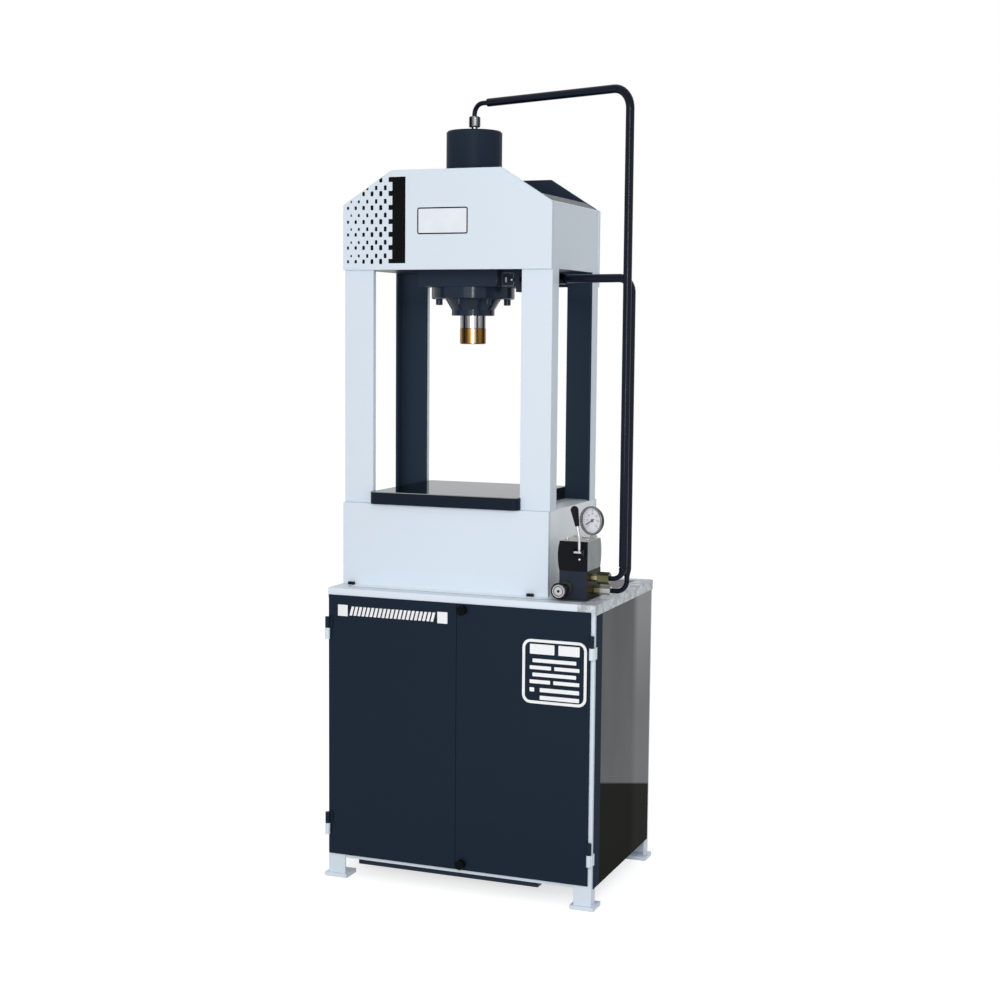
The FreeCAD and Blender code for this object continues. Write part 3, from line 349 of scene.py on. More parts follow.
def metalFinish(name, colour, roughness, grain=None):  # grain stretches the fine lines along the piece
    finish = Finish(name, metallic=1.0)
    cloud = finish.noise(*metalLook["cloud"])
    lines = finish.noise(*metalLook["drawn"], grain) if grain else finish.noise(*metalLook["even"])
    edge = finish.softEdge(metalLook["edge"])
    finish.set(baseColor=finish.mix(cloud, colour, darker(colour, metalLook["cloudShare"])),
               roughness=(lines - 0.5) * metalLook["spread"] + roughness,
               normal=finish.bump(lines, metalLook["grainDepth"], metalLook["grainStrength"], edge))
    return finish


def plainFinish(name, colour, roughness, depth=0.00002, scale=320.0, **more):
    finish = Finish(name, **more)
    cloud = finish.noise(*plainLook["cloud"])
    grain = finish.noise(scale, 2.0)
    finish.set(baseColor=finish.mix(cloud, colour, darker(colour, plainLook["cloudShare"])),
               roughness=(cloud - 0.5) * plainLook["spread"] + roughness,
               normal=finish.bump(grain, depth, plainLook["strength"], finish.softEdge(plainLook["edge"])))
    return finish


cylinderPaint = enamelFinish("cylinder enamel", tone(32, 45, 61), 0.14, 0.138)
dress(cylinderPaint, "cylinder_flange", "gland", "flange_screws")
dress(enamelFinish("barrel enamel", tone(38, 49, 62), 0.36, 0.022), "cylinder_barrel")
dress(plainFinish("black plastic", tone(8, 9, 12), 0.25, specular=0.055), "lower_door_catch",
      "upper_door_catch")
dress(enamelFinish("motor enamel", tone(112, 128, 148), 0.4), "electric_motor")
castAluminium = plainFinish("cast aluminium", tone(176, 178, 182), 0.5, 0.0002, 120.0, metallic=0.85)
dress(castAluminium, "bellhousing", "gear_pump")
dress(metalFinish("ground steel", metalTone(190, 190, 192), 0.28, (1, 1, 12)), "drive_shaft")
dress(metalFinish("bright plating", metalTone(214, 214, 216), 0.12), "filler_breather")
tubeSteel = metalFinish("drawn tube", metalTone(120, 122, 128), 0.3, (1, 1, 10))
dress(tubeSteel, "pressure_pipe", "return_pipe")
dress(plainFinish("black tube", tone(8, 16, 32), 0.2, specular=0.099), "top_pipe", "side_pipe")
dress(plainFinish("black oxide", tone(24, 25, 28), 0.4, metallic=0.6), "base_bolts")

rodReflection = {"across": 278.05, "along": 260.05, "bands": 4, "facing": -68.0, "offset": 0.06, "swing": 0.5,
           "streaks": (60.0, 3.0, 0.6, (1, 1, 0.08)), "ragged": 0.9, "brightFrom": (0.35, 0.5),
           "highlightFrom": (0.85, 0.25), "spread": 0.1, "depth": 0.000006, "strength": 0.4, "edge": 0.0006}


def paintedReflectionBands(name, roughness, dark, bright, highlightTone):
    # painted reflection: bright and dark bands stand round the rod, eased by a cosine of the angle about its
    # axis, the brightest facing the camera, with painted white highlights
    sizes = rodReflection
    finish = Finish(name, metallic=1.0)
    angle = (finish.mm("Y") - sizes["along"]).math("ARCTAN2", finish.mm("X") - sizes["across"])
    streaks = finish.noise(*sizes["streaks"])
    turn = sizes["bands"] * (math.radians(sizes["facing"]) + sizes["offset"])
    wave = (angle * sizes["bands"] - turn).math("COSINE") * sizes["swing"]
    band = (wave + (streaks - 0.5) * sizes["ragged"] + 0.5).clamped()
    shade = finish.mix(band.above(*sizes["brightFrom"]), metalTone(*dark), metalTone(*bright))
    edge = finish.softEdge(sizes["edge"])
    finish.set(baseColor=finish.mix(band.above(*sizes["highlightFrom"]), shade, metalTone(*highlightTone)),
               roughness=(streaks - 0.5) * sizes["spread"] + roughness,
               normal=finish.bump(streaks, sizes["depth"], sizes["strength"], edge))
    return finish


# painted reflection bands and painted highlights on the chrome ram, the brass nose and the top fitting's nut
dress(paintedReflectionBands("hard chrome", 0.12, (112, 108, 116), (214, 214, 218), (255, 255, 255)), "ram")
dress(paintedReflectionBands("turned brass", 0.24, (104, 68, 24), (196, 150, 78), (255, 246, 216)), "ram_nose")
dress(paintedReflectionBands("nut plating", 0.3, (30, 32, 36), (150, 152, 156), (255, 255, 255)), "top_fitting")
sleeveRubber = plainFinish("black rubber", tone(9, 19, 36), 0.16, specular=0.121)
dress(sleeveRubber, "pipe_sleeves")

manifoldLook = {"sideFrom": 657.3, "cloud": (30.0, 4.0, 0.6), "front": (tone(49, 56, 68), tone(39, 46, 57)),
                "side": (tone(9, 8, 6), tone(34, 31, 23)), "oilFrom": (0.5, 0.3), "spread": 0.2,
                "roughness": 0.25, "specular": 0.033, "edge": 0.0008}


def manifoldFinish(sizes):  # blue-black in front, brown-black and oily on the side with the fittings
    finish = Finish("manifold black", specular=sizes["specular"])
    onSide = finish.mm("X") > sizes["sideFrom"]
    cloud = finish.noise(*sizes["cloud"])
    front = finish.mix(cloud, *sizes["front"])
    side = finish.mix(cloud.above(*sizes["oilFrom"]), *sizes["side"])
    finish.set(baseColor=finish.mix(onSide, front, side),
               roughness=cloud * sizes["spread"] + sizes["roughness"], normal=finish.softEdge(sizes["edge"]))
    return finish


dress(manifoldFinish(manifoldLook), "manifold_block")

valveLook = {"lacquerDepth": 0.0255, "topDepth": 0.0006, "cloud": (24.0, 4.0), "grain": (420.0, 3.0),
             "casting": (tone(172, 180, 180), tone(138, 147, 148)), "topTone": tone(214, 214, 206),
             "lacquer": tone(17, 20, 24), "grainDepth": 0.00008, "grainStrength": 0.6, "edge": 0.0015,
             "spread": 0.2, "roughness": 0.38, "specular": 0.066}


def valveFinish(sizes):  # black lacquer in front, bare grey casting on the sides, a brighter tone on the top
    finish = Finish("valve casting", specular=sizes["specular"])
    low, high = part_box("valve_body")
    front = finish.spot("Y") < low[1] + sizes["lacquerDepth"]
    top = finish.spot("Z") > high[2] - sizes["topDepth"]
    cloud = finish.noise(*sizes["cloud"])
    grain = finish.noise(*sizes["grain"])
    grey = finish.mix(top, finish.mix(cloud, *sizes["casting"]), sizes["topTone"])
    edge = finish.softEdge(sizes["edge"])
    finish.set(baseColor=finish.mix(front, grey, sizes["lacquer"]),
               roughness=(cloud - 0.5) * sizes["spread"] + sizes["roughness"],
               normal=finish.bump(grain, sizes["grainDepth"], sizes["grainStrength"], edge))
    return finish


dress(valveFinish(valveLook), "valve_body")
dress(metalFinish("lever steel", metalTone(236, 236, 238), 0.3), "lever", "relief_knob")
dress(plainFinish("grip plastic", tone(10, 10, 13), 0.2, specular=0.12), "lever_grip")
dress(plainFinish("relief black", tone(26, 26, 30), 0.3, metallic=0.4), "relief_valve")

gauge = {"across": 646.2, "face": 115.0, "height": 921.3, "turn": 22.0, "floor": 7.0, "radius": 30.6,
         "lift": 0.15, "ink": 0.08, "inkGap": 0.01, "sweep": (225, -45, 31), "majorEvery": 5,
         "major": (21.5, 28.2, 0.9), "minor": (25.2, 28.2, 0.45), "digitAt": 16.6, "digit": (2.3, 4.0, 0.55),
         "digitPitch": 1.7, "round": 0.3, "figures": ("0", "10", "20", "30", "40", "50", "50")}
caseLook = {"bezelDepth": 1.3, "bezel": metalTone(158, 160, 165), "stemBelow": 888.0,
            "stem": metalTone(222, 224, 222), "olive": (metalTone(112, 112, 104), metalTone(84, 84, 76)),
            "cloud": (30.0, 3.0), "spread": 0.1, "roughness": 0.25}


def caseFinish(sizes, spot):
    # a bright bezel round an olive-grey case and a pale stem: the bezel ends at a depth along the gauge's
    # own axis
    finish = Finish("case steel", metallic=1.0)
    turn = math.radians(spot["turn"])
    aside, inward = finish.mm("X") - spot["across"], finish.mm("Y") - spot["face"]
    depth = aside * math.sin(turn) + inward * math.cos(turn)
    cloud = finish.noise(*sizes["cloud"])
    rim = finish.mix(depth > sizes["bezelDepth"], sizes["bezel"], finish.mix(cloud, *sizes["olive"]))
    finish.set(baseColor=finish.mix(finish.mm("Z") < sizes["stemBelow"], rim, sizes["stem"]),
               roughness=cloud * sizes["spread"] + sizes["roughness"],
               normal=finish.softEdge(metalLook["edge"]))
    return finish


dress(caseFinish(caseLook, gauge), "gauge_case")

fittingLook = {"unionAbove": 1000.0, "upperAbove": 770.0, "nutFrom": 672.6, "cloud": (60.0, 3.0),
               "brass": (metalTone(238, 226, 176), metalTone(196, 182, 128)),
               "olive": (metalTone(132, 130, 96), metalTone(92, 92, 62)), "bright": metalTone(236, 236, 230),
               "union": metalTone(30, 34, 42), "spread": 0.12, "roughness": 0.24}


def fittingFinish(sizes):
    # pale brass bodies, the upper nut dull olive, the lower one bright, the high union nearly black
    finish = Finish("fitting metal", metallic=1.0)
    cloud = finish.noise(*sizes["cloud"])
    high, upper = (finish.mm("Z") > sizes[name] for name in ("unionAbove", "upperAbove"))
    nut = finish.mm("X") > sizes["nutFrom"]
    brass = finish.mix(cloud, *sizes["brass"])
    nuts = finish.mix(upper, sizes["bright"], finish.mix(cloud, *sizes["olive"]))
    shade = finish.mix(high, finish.mix(nut, brass, nuts), sizes["union"])
    finish.set(baseColor=shade, roughness=cloud * sizes["spread"] + sizes["roughness"],
               normal=finish.softEdge(metalLook["edge"]))
    return finish


dress(fittingFinish(fittingLook), "pipe_fittings")
dress(plainFinish("needle black", tone(16, 16, 18), 0.4), "gauge_needle")
dress(Finish("lens glass", roughness=0.03, alpha=0.07, baseColor=(1.0, 1.0, 1.0, 1.0)), "gauge_lens")

tableLook = {"bareDepth": 0.0014, "bareBlend": 0.0004, "cloud": (7.0, 4.0),
             "lines": (60.0, 3.0, 0.6, (1, 14, 1)),
             "steel": (metalTone(210, 215, 214), metalTone(186, 190, 190)), "paint": tone(28, 36, 47),
             "roughness": 0.07, "paintRoughness": 0.2, "lineGloss": 0.04, "lineDepth": 0.000004,
             "lineStrength": 0.3, "edge": 0.0015, "specular": 0.066, "tint": (0.435, 0.44, 0.45, 1.0)}


def tableFinish(sizes):  # near-black sides, ground and polished bare top
    finish = Finish("table steel", specular=sizes["specular"], specularTint=sizes["tint"])
    top = float(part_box("table")[1][2])
    bare = finish.spot("Z").above(top - sizes["bareDepth"], sizes["bareBlend"])
    cloud = finish.noise(*sizes["cloud"])
    lines = finish.noise(*sizes["lines"])
    gloss = (lines - 0.5) * sizes["lineGloss"] + (1.0 - bare) * sizes["paintRoughness"] + sizes["roughness"]
    edge = finish.softEdge(sizes["edge"])
    finish.set(baseColor=finish.mix(bare, sizes["paint"], finish.mix(cloud, *sizes["steel"])), metallic=bare,
               roughness=gloss, normal=finish.bump(lines, sizes["lineDepth"], sizes["lineStrength"], edge))
    return finish


dress(tableFinish(tableLook), "table")
print("metals dressed")


def gridFaces(rows, columns, wrapColumns=False):
    row = np.arange(rows - 1)[:, None]
    column = np.arange(columns if wrapColumns else columns - 1)[None, :]
    nextRow, nextColumn = row + 1, (column + 1) % columns
    corners = [row * columns + column, row * columns + nextColumn, nextRow * columns + nextColumn,
               nextRow * columns + column]
    return np.stack(np.broadcast_arrays(*corners), -1).reshape(-1, 4)


def makePiece(name, points, faces, finish, body, smooth=False):
    mesh = bpy.data.meshes.new(name)
    mesh.from_pydata(points.reshape(-1, 3).tolist(), [], [list(face) for face in faces])
    mesh.validate()
    shape = bmesh.new()
    shape.from_mesh(mesh)
    bmesh.ops.recalc_face_normals(shape, faces=shape.faces)
    shape.to_mesh(mesh)
    shape.free()
    mesh.polygons.foreach_set("use_smooth", np.full(len(mesh.polygons), smooth))
    made = bpy.data.objects.new(name, mesh)
    scene.collection.objects.link(made)
    dress(finish, made)
    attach(made, body)
    return made


def flatFrame(origin, right=(1, 0, 0), up=(0, 0, 1)):
    # a flat place to draw on: its origin, right, up and outward
    right, up = np.array(right, float), np.array(up, float)
    return place(*origin), right, up, np.cross(right, up)


def printed(name, outlines, flat, depth, finish, body, lift=0.0):
    # each outline is a closed ring of across and up in millimetres; the print is a thin plate on the flat
    origin, right, up, outward = flat
    shapes, sides = outlines.shape[:2]
    ring3 = outlines[..., :1] * right + outlines[..., 1:] * up
    points = np.stack([ring3 + outward * lift, ring3 + outward * (lift + depth)], 1) / 1000 + origin
    start = (np.arange(shapes) * 2 * sides)[:, None]
    ring = np.arange(sides)[None, :]
    after = (ring + 1) % sides
    walls = [start + ring, start + after, start + sides + after, start + sides + ring]
    walls = np.stack(walls, -1).reshape(-1, 4)
    fronts, backs = start + sides + ring, start + ring[:, ::-1]
    return makePiece(name, points, walls.tolist() + fronts.tolist() + backs.tolist(), finish, body)


def roundedOutline(width, height, radius, steps=3):
    # a rectangle about the origin with round corners: each corner is a quarter circle of the radius given
    angle = np.linspace(0, np.pi / 2, steps + 1)
    quarter = np.stack([np.cos(angle), np.sin(angle)], -1) * radius
    ring = []
    for number, (sideX, sideZ) in enumerate(((1, 1), (-1, 1), (-1, -1), (1, -1))):
        turn = np.array([[np.cos(number * np.pi / 2), -np.sin(number * np.pi / 2)],
                         [np.sin(number * np.pi / 2), np.cos(number * np.pi / 2)]])
        middle = (sideX * (width / 2 - radius), sideZ * (height / 2 - radius))
        ring.append(quarter @ turn.T + np.array(middle))
    return np.concatenate(ring)


def circleOutline(radius, steps=48):
    angle = np.linspace(0, 2 * np.pi, steps, endpoint=False)
    return np.stack([np.cos(angle), np.sin(angle)], -1) * radius


def between(outer, inner):  # the wall between two rings, one cell of four corners for each step round them
    after = np.roll(np.arange(len(outer)), -1)
    return np.stack([outer, outer[after], inner[after], inner], 1)


film, filmBump = 0.15, 0.000004  # thickness of a print in millimetres, height of its grain in metres
inkBlack = plainFinish("printed black", tone(14, 14, 15), 0.5, filmBump, specular=0.044)
inkBlue = plainFinish("printed border", tone(12, 18, 28), 0.45, filmBump, specular=0.055)
plateWhite = plainFinish("plate white", tone(238, 243, 250), 0.3, filmBump)
inkWhite = plainFinish("printed white", tone(252, 253, 255), 0.35, filmBump)

headPrint = {"evenColumns": (16.5, 37.6, 59.2, 82.2, 105.9), "oddColumns": (25.2, 46.2, 69.3, 93.5, 118.1),
             "evenWide": (5.6, 6.4, 6.9, 7.6, 8.4), "evenTall": (7.6, 8.6, 10.2, 12.0, 13.0),
             "oddWide": (3.8, 5.2, 5.8, 6.6, 7.4), "oddTall": (6.0, 7.4, 9.4, 10.8, 12.0),
             "evenRows": (1541.1, 1574.8, 1606.9, 1638.1, 1672.2, 1706.1, 1739.6),
             "oddRows": (1555.0, 1588.0, 1620.2, 1653.9, 1687.4, 1720.0), "round": 0.26, "leastShown": 0.3,
             "tooth": 127.1, "bandLeft": 137.2, "bandRight": 172.4, "bandLow": 1536.5, "bandHigh": 1746.0,
             "toothTall": 12.2, "shoulder": 1679.8, "slope": (1762.3 - 1679.8) / 131.0, "corner": 3.2,
             "margin": 1.5}
frontFace = flatFrame((0, 77.5, 0))
doorFace = flatFrame((0, -2.3, 0))


def halftone(sizes):
    outlines = []
    for kind in ("even", "odd"):
        rows = sizes[kind + "Rows"]
        x, z = np.meshgrid(sizes[kind + "Columns"], rows)
        wide, tall = (np.meshgrid(sizes[kind + side], rows)[0] for side in ("Wide", "Tall"))
        spots, spans = (np.stack(pair, -1).reshape(-1, 1, 2) for pair in ((x, z), (wide, tall)))
        outlines.append(roundedOutline(1, 1, sizes["round"])[None] * spans + spots)
    outlines = np.concatenate(outlines)
    edge = sizes["shoulder"] + (outlines[..., 0] - sizes["corner"]) * sizes["slope"] - sizes["margin"]
    # a square over the slope's edge is cut along it, or left out where too little of it would show
    kept = (outlines[..., 1] < edge).mean(1) > sizes["leastShown"]
    outlines[..., 1] = np.minimum(outlines[..., 1], edge)
    printed("halftone_print", outlines[kept], frontFace, film, inkBlack, "press")
    band = [(sizes["bandRight"], sizes["bandLow"]), (sizes["bandRight"], sizes["bandHigh"])]
    for row in sizes["evenRows"][::-1]:
        top = min(row + sizes["toothTall"] / 2, sizes["bandHigh"])
        low = max(row - sizes["toothTall"] / 2, sizes["bandLow"])
        band += [(sizes["bandLeft"], top), (sizes["tooth"], top), (sizes["tooth"], low),
                 (sizes["bandLeft"], low)]
    printed("toothed_band_print", np.array([band]), frontFace, film, inkBlack, "press")


def ringPrint(name, width, height, radius, wall, middle, flat, finish, body, slotName, lift=0.0):
    # a rounded frame: the wall between an outer outline and the same outline drawn smaller
    outer = roundedOutline(width, height, radius, 6) + middle
    inner = roundedOutline(width - 2 * wall, height - 2 * wall, radius - wall, 6) + middle
    return printed(name, between(outer, inner), flat, film, finish, body, lift)


halftone(headPrint)
plate = {"width": 135.5, "height": 67.0, "radius": 6.5, "thick": 0.6, "border": 1.2, "edge": 3.2,
         "middle": (270.9, 1638.3)}
plateOutline = roundedOutline(plate["width"], plate["height"], plate["radius"], 6) + plate["middle"]
printed("bordered_plate", plateOutline[None], frontFace, plate["thick"], plateWhite, "press")
ringPrint("bordered_plate_edge", plate["width"] - 2 * plate["border"], plate["height"] - 2 * plate["border"],
          plate["radius"] - plate["border"], plate["edge"], plate["middle"], frontFace, inkBlue, "press",
          "frame_paint", plate["thick"])

strip = {"left": 41.9, "right": 310.7, "middle": 680.2, "width": 26.8, "height": 28.4, "corner": 1.0,
         "bars": 21, "margin": 25.0, "slant": 6.0, "barWide": 7.4, "barTall": 23.0, "barCorner": 0.8}
ends = roundedOutline(strip["width"], strip["height"], strip["corner"])
squares = np.stack([ends + (strip[end], strip["middle"]) for end in ("left", "right")])
printed("door_strip_squares", squares, doorFace, film, inkWhite, "left_door")
barSpots = np.linspace(strip["left"] + strip["margin"], strip["right"] - strip["margin"], strip["bars"])
bar = roundedOutline(strip["barWide"], strip["barTall"], strip["barCorner"])
bar = bar + np.stack([bar[:, 1] / strip["barTall"] * strip["slant"], bar[:, 1] * 0], -1)
bars = bar[None] + np.stack([barSpots, np.full(len(barSpots), strip["middle"])], -1)[:, None]
printed("door_strip_bars", bars, doorFace, film, inkWhite, "left_door")

# every line of the plate is its height, how tall its bars are, and where each bar starts and ends
doorPlate = {"middle": (600.1, 568.0), "width": 162.0, "height": 155.0, "radius": 21.0, "wall": 7.0,
             "corner": 1.5,
             "lines": ((622, 24, ((538, 600), (610, 663))), (594.5, 9, ((545, 655),)),
                       (577.5, 9, ((538, 592), (600, 663))), (560.5, 9, ((545, 655),)),
                       (543.5, 9, ((538, 590), (598, 663))), (524, 10, ((538, 550), (564, 663))),
                       (505.5, 10, ((564, 663),)))}
ringPrint("door_plate_outline", doorPlate["width"], doorPlate["height"], doorPlate["radius"],
          doorPlate["wall"], doorPlate["middle"], doorFace, inkWhite, "right_door", "door_paint")
lineBars = [roundedOutline(end - start, tall, doorPlate["corner"]) + ((start + end) / 2, height)
            for height, tall, spans in doorPlate["lines"] for start, end in spans]
printed("door_plate_lines", np.stack(lineBars), doorFace, film, inkWhite, "right_door")

# painted shade: a dark rubber strip on the left door's edge fills the gap between the doors, but for the
# clearance, as a dark sheet where the gap shows only shade
gapShade = {"clearance": 0.4, "front": -1.9, "depth": 4.4, "low": 60.5, "high": 717.0}
gapShadeRubber = plainFinish("gap shade rubber", tone(12, 16, 22), 0.6, specular=0.055)
gapLeft, gapRight = (float(edge - cornerX) * 1000
                       for edge in (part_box("left_door")[1][0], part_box("right_door")[0][0]))
gapShadeOutline = np.array([[(gapLeft, gapShade["low"]), (gapRight - gapShade["clearance"], gapShade["low"]),
                         (gapRight - gapShade["clearance"], gapShade["high"]), (gapLeft, gapShade["high"])]])
printed("door_gap_shade_strip", gapShadeOutline, flatFrame((0, gapShade["front"] + gapShade["depth"], 0)), gapShade["depth"],
        gapShadeRubber, "left_door")
print("prints made")

aside, inward = math.sin(math.radians(gauge["turn"])), math.cos(math.radians(gauge["turn"]))
dialFlat = flatFrame((gauge["across"] + gauge["floor"] * aside, gauge["face"] + gauge["floor"] * inward,
                      gauge["height"]), (inward, -aside, 0))
dialWhite = plainFinish("dial white", tone(240, 243, 252), 0.4, filmBump)


def dialTicks(angles, inner, outer, width):
    # a bar along each radius: its four corners are the ends of the radius, half the width to either side
    along = np.stack([np.cos(angles), np.sin(angles)], -1)[:, None]
    across = np.stack([-np.sin(angles), np.cos(angles)], -1)[:, None] * width / 2
    return np.concatenate([along * inner - across, along * outer - across, along * outer + across,
                           along * inner + across], 1)


def digitBars(text, middle, sizes):
    # seven bars stand for each figure, as on a counter
    wide, tall, wall = sizes["digit"]
    spots = {"top": (0, 1, True), "mid": (0, 0, True), "low": (0, -1, True), "upLeft": (-1, 0.5, False),
             "upRight": (1, 0.5, False), "lowLeft": (-1, -0.5, False), "lowRight": (1, -0.5, False)}
    figures = {"0": ("top", "low", "upLeft", "upRight", "lowLeft", "lowRight"), "1": ("upRight", "lowRight"),
               "2": ("top", "mid", "low", "upRight", "lowLeft"),
               "3": ("top", "mid", "low", "upRight", "lowRight"),
               "4": ("mid", "upLeft", "upRight", "lowRight"),
               "5": ("top", "mid", "low", "upLeft", "lowRight")}
    bars = []
    for number, figure in enumerate(text):
        start = middle[0] + (number - (len(text) - 1) / 2) * wide * sizes["digitPitch"]
        for x, y, flatBar in (spots[name] for name in figures[figure]):
            span = (wide, wall) if flatBar else (wall, tall / 2)
            bar = roundedOutline(*span, wall * sizes["round"], 2)
            bars.append(bar + (start + x * wide / 2, middle[1] + y * tall / 2))
    return bars


def gaugeDial(sizes):
    disc = circleOutline(sizes["radius"])[None]
    printed("gauge_dial", disc, dialFlat, sizes["lift"], dialWhite, "press")
    sweep = np.radians(np.linspace(*sizes["sweep"]))
    everyFew = np.s_[::sizes["majorEvery"]]
    major, minor = sweep[everyFew], np.delete(sweep, everyFew)
    bars = []
    for text, angle in zip(sizes["figures"], major):
        bars += digitBars(text, np.array((math.cos(angle), math.sin(angle))) * sizes["digitAt"], sizes)
    for name, outlines in (("gauge_major_marks", dialTicks(major, *sizes["major"])),
                           ("gauge_minor_marks", dialTicks(minor, *sizes["minor"])),
                           ("gauge_figures", np.array(bars))):
        printed(name, outlines, dialFlat, sizes["ink"], inkBlack, "press",
                sizes["lift"] + sizes["inkGap"])


gaugeDial(gauge)


def alongPath(path, outline):
    # an outline for each place on a path, set across the path's own direction
    ahead = np.gradient(path, axis=0)
    ahead /= np.linalg.norm(ahead, axis=1)[:, None]
    side = np.cross(ahead, (0.0, 0.0, 1.0))
    upright = np.linalg.norm(side, axis=1) < 1e-6
    side[upright] = (1.0, 0.0, 0.0)
    side /= np.linalg.norm(side, axis=1)[:, None]
    over = np.cross(side, ahead)
    return path[:, None] + side[:, None] * outline[..., :1] + over[:, None] * outline[..., 1:]


def closedFaces(rows, sides):  # the faces between the rings of a tube, and its two ends
    ends = [list(range(sides)), list(range((rows - 1) * sides, rows * sides))]
    return gridFaces(rows, sides, wrapColumns=True).tolist() + ends


def closedTube(name, path, outline, finish, body):
    rings = alongPath(path, outline)
    return makePiece(name, rings, closedFaces(*rings.shape[:2]), finish, body, True)


beads = {"radius": 2.6, "sides": 10, "step": 2.5, "leastRows": 6, "swell": 0.13, "ripple": 9.0,
         "uneven": 0.08, "pace": 0.71,
         "places": (("weld_rear_left_inner", (9.8, 418.6, 975), (9.8, 418.6, 1480)),
                    ("weld_rear_right_inner", (546.3, 418.6, 975), (546.3, 418.6, 1480)),
                    ("weld_front_left_inner", (9.8, 101.5, 945), (9.8, 101.5, 1515)),
                    ("weld_front_right_inner", (546.3, 101.5, 945), (546.3, 101.5, 1515)),
                    ("weld_port_block", (383.3, 190.5, 1484), (383.3, 224.0, 1484)),
                    ("weld_pad_front", (175.0, 155.3, 1523.2), (381.0, 155.3, 1523.2)))}


def weld(name, start, end, sizes):
    # a bead: a small round rod along the corner whose radius swells by a sine along the way, once per ripple,
    # and by a weaker sine at another pace
    start, end = place(*start), place(*end)
    length = float(np.linalg.norm(end - start)) * 1000
    t = np.linspace(0, 1, max(int(length / sizes["step"]), sizes["leastRows"]))[:, None]
    ripple = sizes["swell"] * np.sin(t * length * 2 * np.pi / sizes["ripple"])
    uneven = sizes["uneven"] * np.sin(t * length * sizes["pace"])
    radius = sizes["radius"] / 1000 * (1 + ripple + uneven)
    outline = circleOutline(1.0, sizes["sides"])[None] * radius[..., None]
    return closedTube(name, start + (end - start) * t, outline, navyPaint, "press")


for beadName, beadStart, beadEnd in beads["places"]:
    weld(beadName, beadStart, beadEnd, beads)


def lathe(name, profile, origin, axis, finish, body, steps, wave=None):
    # a profile of radius and height turned about an axis: x = r cos a, y = r sin a, z = h; a wave gives the
    # share by which the radius grows at each angle
    profile = np.array(profile, float)
    angle = np.linspace(0, 2 * np.pi, steps, endpoint=False)
    axis = np.array(axis, float) / np.linalg.norm(axis)
    first = np.cross(axis, (0.3, 0.4, 0.87))
    first /= np.linalg.norm(first)
    second = np.cross(axis, first)
    reach = profile[:, None, 0] * (1.0 if wave is None else 1 + wave(angle)[None])
    outward = first * np.cos(angle)[None, :, None] + second * np.sin(angle)[None, :, None]
    points = reach[..., None] * outward + profile[:, None, 1:] * axis
    faces = closedFaces(len(profile), steps)
    return makePiece(name, points / 1000 + place(*origin), faces, finish, body, True)


blackPart = plainFinish("black fitting", tone(16, 17, 20), 0.4, specular=0.11)
brightPart = metalFinish("bright screw", metalTone(240, 240, 240), 0.25)
# grey for the deck seam's joint line, and for the painted highlight round the port block's recess
seamAndHighlightGrey = plainFinish("seam grey and painted highlight", tone(128, 134, 142), 0.5, specular=0.055)

sleeve = {"tube": 6.25, "radius": 10.25, "sides": 24}
bend = {"across": 735.0, "front": 98.0, "low": 787.0, "radius": 26.0, "start": 817.0, "turn": 52.0,
        "steps": 14}
drop = {"across": 738.0, "front": 121.0, "start": 812.5, "end": 786.0, "steps": 12}


def taperedSleeve(name, path, sizes):
    # the sleeve's end shrunk on to the tube: the radius falls from the sleeve's to the tube's by a cosine
    t = np.linspace(0, 1, len(path))
    radius = sizes["tube"] + (sizes["radius"] - sizes["tube"]) * (0.5 + 0.5 * np.cos(np.pi * t))
    outline = circleOutline(1.0, sizes["sides"])[None] * (radius / 1000)[:, None, None]
    return closedTube(name, path, outline, sleeveRubber, "press")


arc = np.radians(np.linspace(0, bend["turn"], bend["steps"]))
bendPath = [(bend["across"], bend["front"], bend["start"])]
bendPath += [(bend["across"] - bend["radius"] * (1 - np.cos(angle)), bend["front"],
              bend["low"] + bend["radius"] * (1 - np.sin(angle))) for angle in arc]
dropPath = [(drop["across"], drop["front"], z)
            for z in np.linspace(drop["start"], drop["end"], drop["steps"])]
taperedSleeve("top_sleeve_end", np.array([place(*spot) for spot in bendPath]), sleeve)
taperedSleeve("side_sleeve_end", np.array([place(*spot) for spot in dropPath]), sleeve)

knob = {"across": 604.0, "height": 762.0, "steps": 96, "lobes": 12, "lobeShare": 0.012, "ink": 0.2,
        "profile": ((18.4, -8.0), (19.4, -7.0), (19.4, -3.2), (18.4, -2.2)), "groove": (12.4, 10.6),
        "socket": (3.6, 6), "edge": (16.2, 15.2)}
knobSpot = (knob["across"], float(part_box("relief_knob")[0][1] - cornerY) * 1000, knob["height"])
knobFlat = flatFrame(knobSpot)
lathe("relief_lock_ring", knob["profile"], knobSpot, (0, -1, 0), blackPart, "relief_knob",
      knob["steps"], lambda angle: knob["lobeShare"] * np.abs(np.sin(angle * knob["lobes"])))
for name, outlines in (("relief_knob_groove", between(*map(circleOutline, knob["groove"]))),
                       ("relief_knob_socket", circleOutline(*knob["socket"])[None]),
                       ("relief_knob_edge", between(*map(circleOutline, knob["edge"])))):
    printed(name, outlines, knobFlat, knob["ink"], blackPart, "relief_knob")

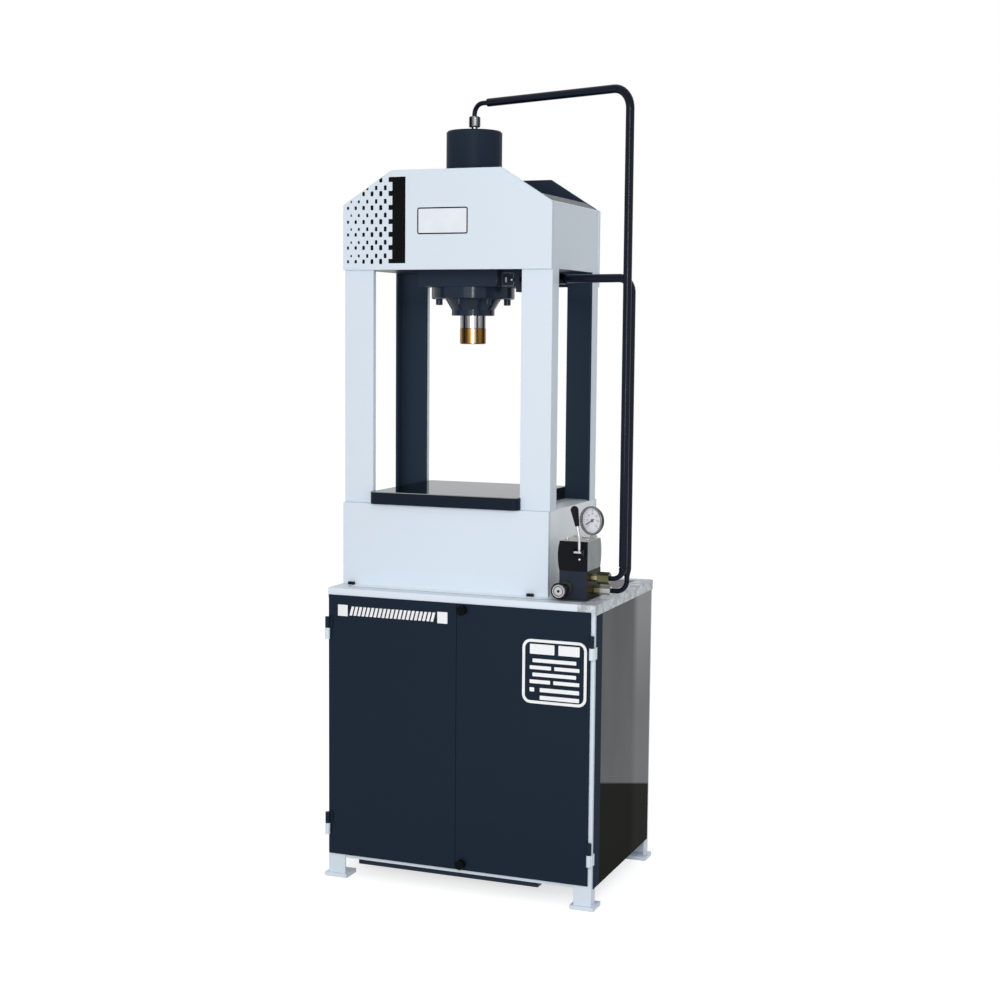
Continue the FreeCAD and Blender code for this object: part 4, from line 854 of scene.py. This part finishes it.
capScrew = {"spots": ((596, 92), (649, 92), (596, 152), (618, 152)), "steps": 24,
            "profile": ((0.01, -1.0), (4.0, -1.0), (4.0, 3.4), (3.4, 4.0), (2.0, 4.0), (2.0, 1.6),
                        (0.01, 1.6))}
slotScrew = {"spot": (638.0, 60.4, 833.4), "steps": 20,
             "profile": ((0.01, -2.0), (2.8, -2.0), (2.8, 0.9), (2.1, 1.4), (0.01, 1.4))}
valveTop = float(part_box("valve_body")[1][2]) * 1000
for number, (x, y) in enumerate(capScrew["spots"]):
    lathe("valve_cap_screw_%d" % number, capScrew["profile"], (x, y, valveTop), (0, 0, 1), brightPart,
          "press", capScrew["steps"])
lathe("valve_slot_screw", slotScrew["profile"], slotScrew["spot"], (0, -1, 0), brightPart, "press",
      slotScrew["steps"])

# painted highlight: the grey frame round the port block's recess; the plug's slot and face are bright steel
# marks drawn where its highlights show
port = {"frame": (32.0, 33.2, 2.0, 1.6), "frameSpot": (398.2, 190.0, 1499.9), "plugDepth": 0.4,
        "slot": (3.8, 12.6, 1.6), "slotSpot": (395.05, 186.0, 1499.0), "face": (2.6, 16),
        "faceSpot": (410.05, 186.0, 1499.0)}
ringPrint("port_block_highlight_frame", *port["frame"], (0.0, 0.0), flatFrame(port["frameSpot"]), seamAndHighlightGrey, "press",
          "port_paint")
for name, spot, outline in (("port_plug_slot", port["slotSpot"], roundedOutline(*port["slot"])),
                            ("port_plug_face", port["faceSpot"], circleOutline(*port["face"]))):
    printed(name, outline[None], flatFrame(spot), port["plugDepth"], brightPart, "press")

seam = {"inset": 38.3, "width": 1.7, "lift": 0.3, "across": 700.0, "along": 473.0, "height": 735.0,
        "corners": (1.5, 0.5)}
seamRings = [roundedOutline(seam["across"] - 2 * seam["inset"] + side * seam["width"],
                            seam["along"] - 2 * seam["inset"] + side * seam["width"], corner)
             for side, corner in zip((1, -1), seam["corners"])]
deckFlat = flatFrame((seam["across"] / 2, seam["along"] / 2, seam["height"]), (1, 0, 0), (0, 1, 0))
printed("deck_seam", between(*seamRings), deckFlat, seam["lift"], seamAndHighlightGrey, "press")
print("small parts made")

# each lamp is its name, its place, its width and height in metres and its power in watts
studio = {"floor": 14.0, "floorColour": 0.72, "floorGlow": 0.66, "floorRoughness": 0.9, "worldLight": 0.54,
          "aim": (0.0, 0.0, 1.0),
          "lamps": (("keyLamp", (0.9, -4.8, 1.9), 2.6, 2.6, 58.0),
                    ("fillLamp", (4.3, -2.2, 1.2), 2.4, 2.2, 9.0),
                    ("stripLamp", (1.45, -4.0, 1.75), 0.12, 1.8, 40.0))}


def evenGrey(level):
    return (level,) * 3 + (1.0,)


def setFloor(sizes):  # a wide white sheet that glows only where it is seen
    half = sizes["floor"]
    grid = np.stack(np.meshgrid(np.linspace(-half, half, 2), np.linspace(-half, half, 2)), -1)
    points = np.concatenate([grid, np.zeros((2, 2, 1))], -1)
    mesh = bpy.data.meshes.new("floor")
    mesh.from_pydata(points.reshape(-1, 3).tolist(), [], gridFaces(2, 2).tolist())
    floor = bpy.data.objects.new("floor", mesh)
    scene.collection.objects.link(floor)
    finish = Finish("floor white", roughness=sizes["floorRoughness"], specular=0.0, glowStrength=1.0)
    finish.set(baseColor=evenGrey(sizes["floorColour"]),
               glow=finish.mix(finish.seen(), evenGrey(0.0), evenGrey(sizes["floorGlow"])))
    floor.data.materials.append(finish.material)


def setStudio(sizes):  # the world is full white where it is seen and lights the press with the share given
    world = bpy.data.worlds.new("studio")
    world.use_nodes = True
    scene.world = world
    sky = Nodes(world.node_tree)
    background = world.node_tree.nodes["Background"]
    sky.plug(background.inputs["Strength"], sky.seen() * (1.0 - sizes["worldLight"]) + sizes["worldLight"])
    sky.plug(background.inputs["Color"], evenGrey(1.0))
    for name, spot, width, height, power in sizes["lamps"]:
        data = bpy.data.lights.new(name, "AREA")
        data.shape = "RECTANGLE"
        data.size = width
        data.size_y = height
        data.energy = power
        lamp = bpy.data.objects.new(name, data)
        scene.collection.objects.link(lamp)
        lamp.location = spot
        lamp.rotation_euler = (Vector(sizes["aim"]) - Vector(spot)).to_track_quat("-Z", "Y").to_euler()


setFloor(studio)
setStudio(studio)
print("studio set")

bpy.context.view_layer.update()
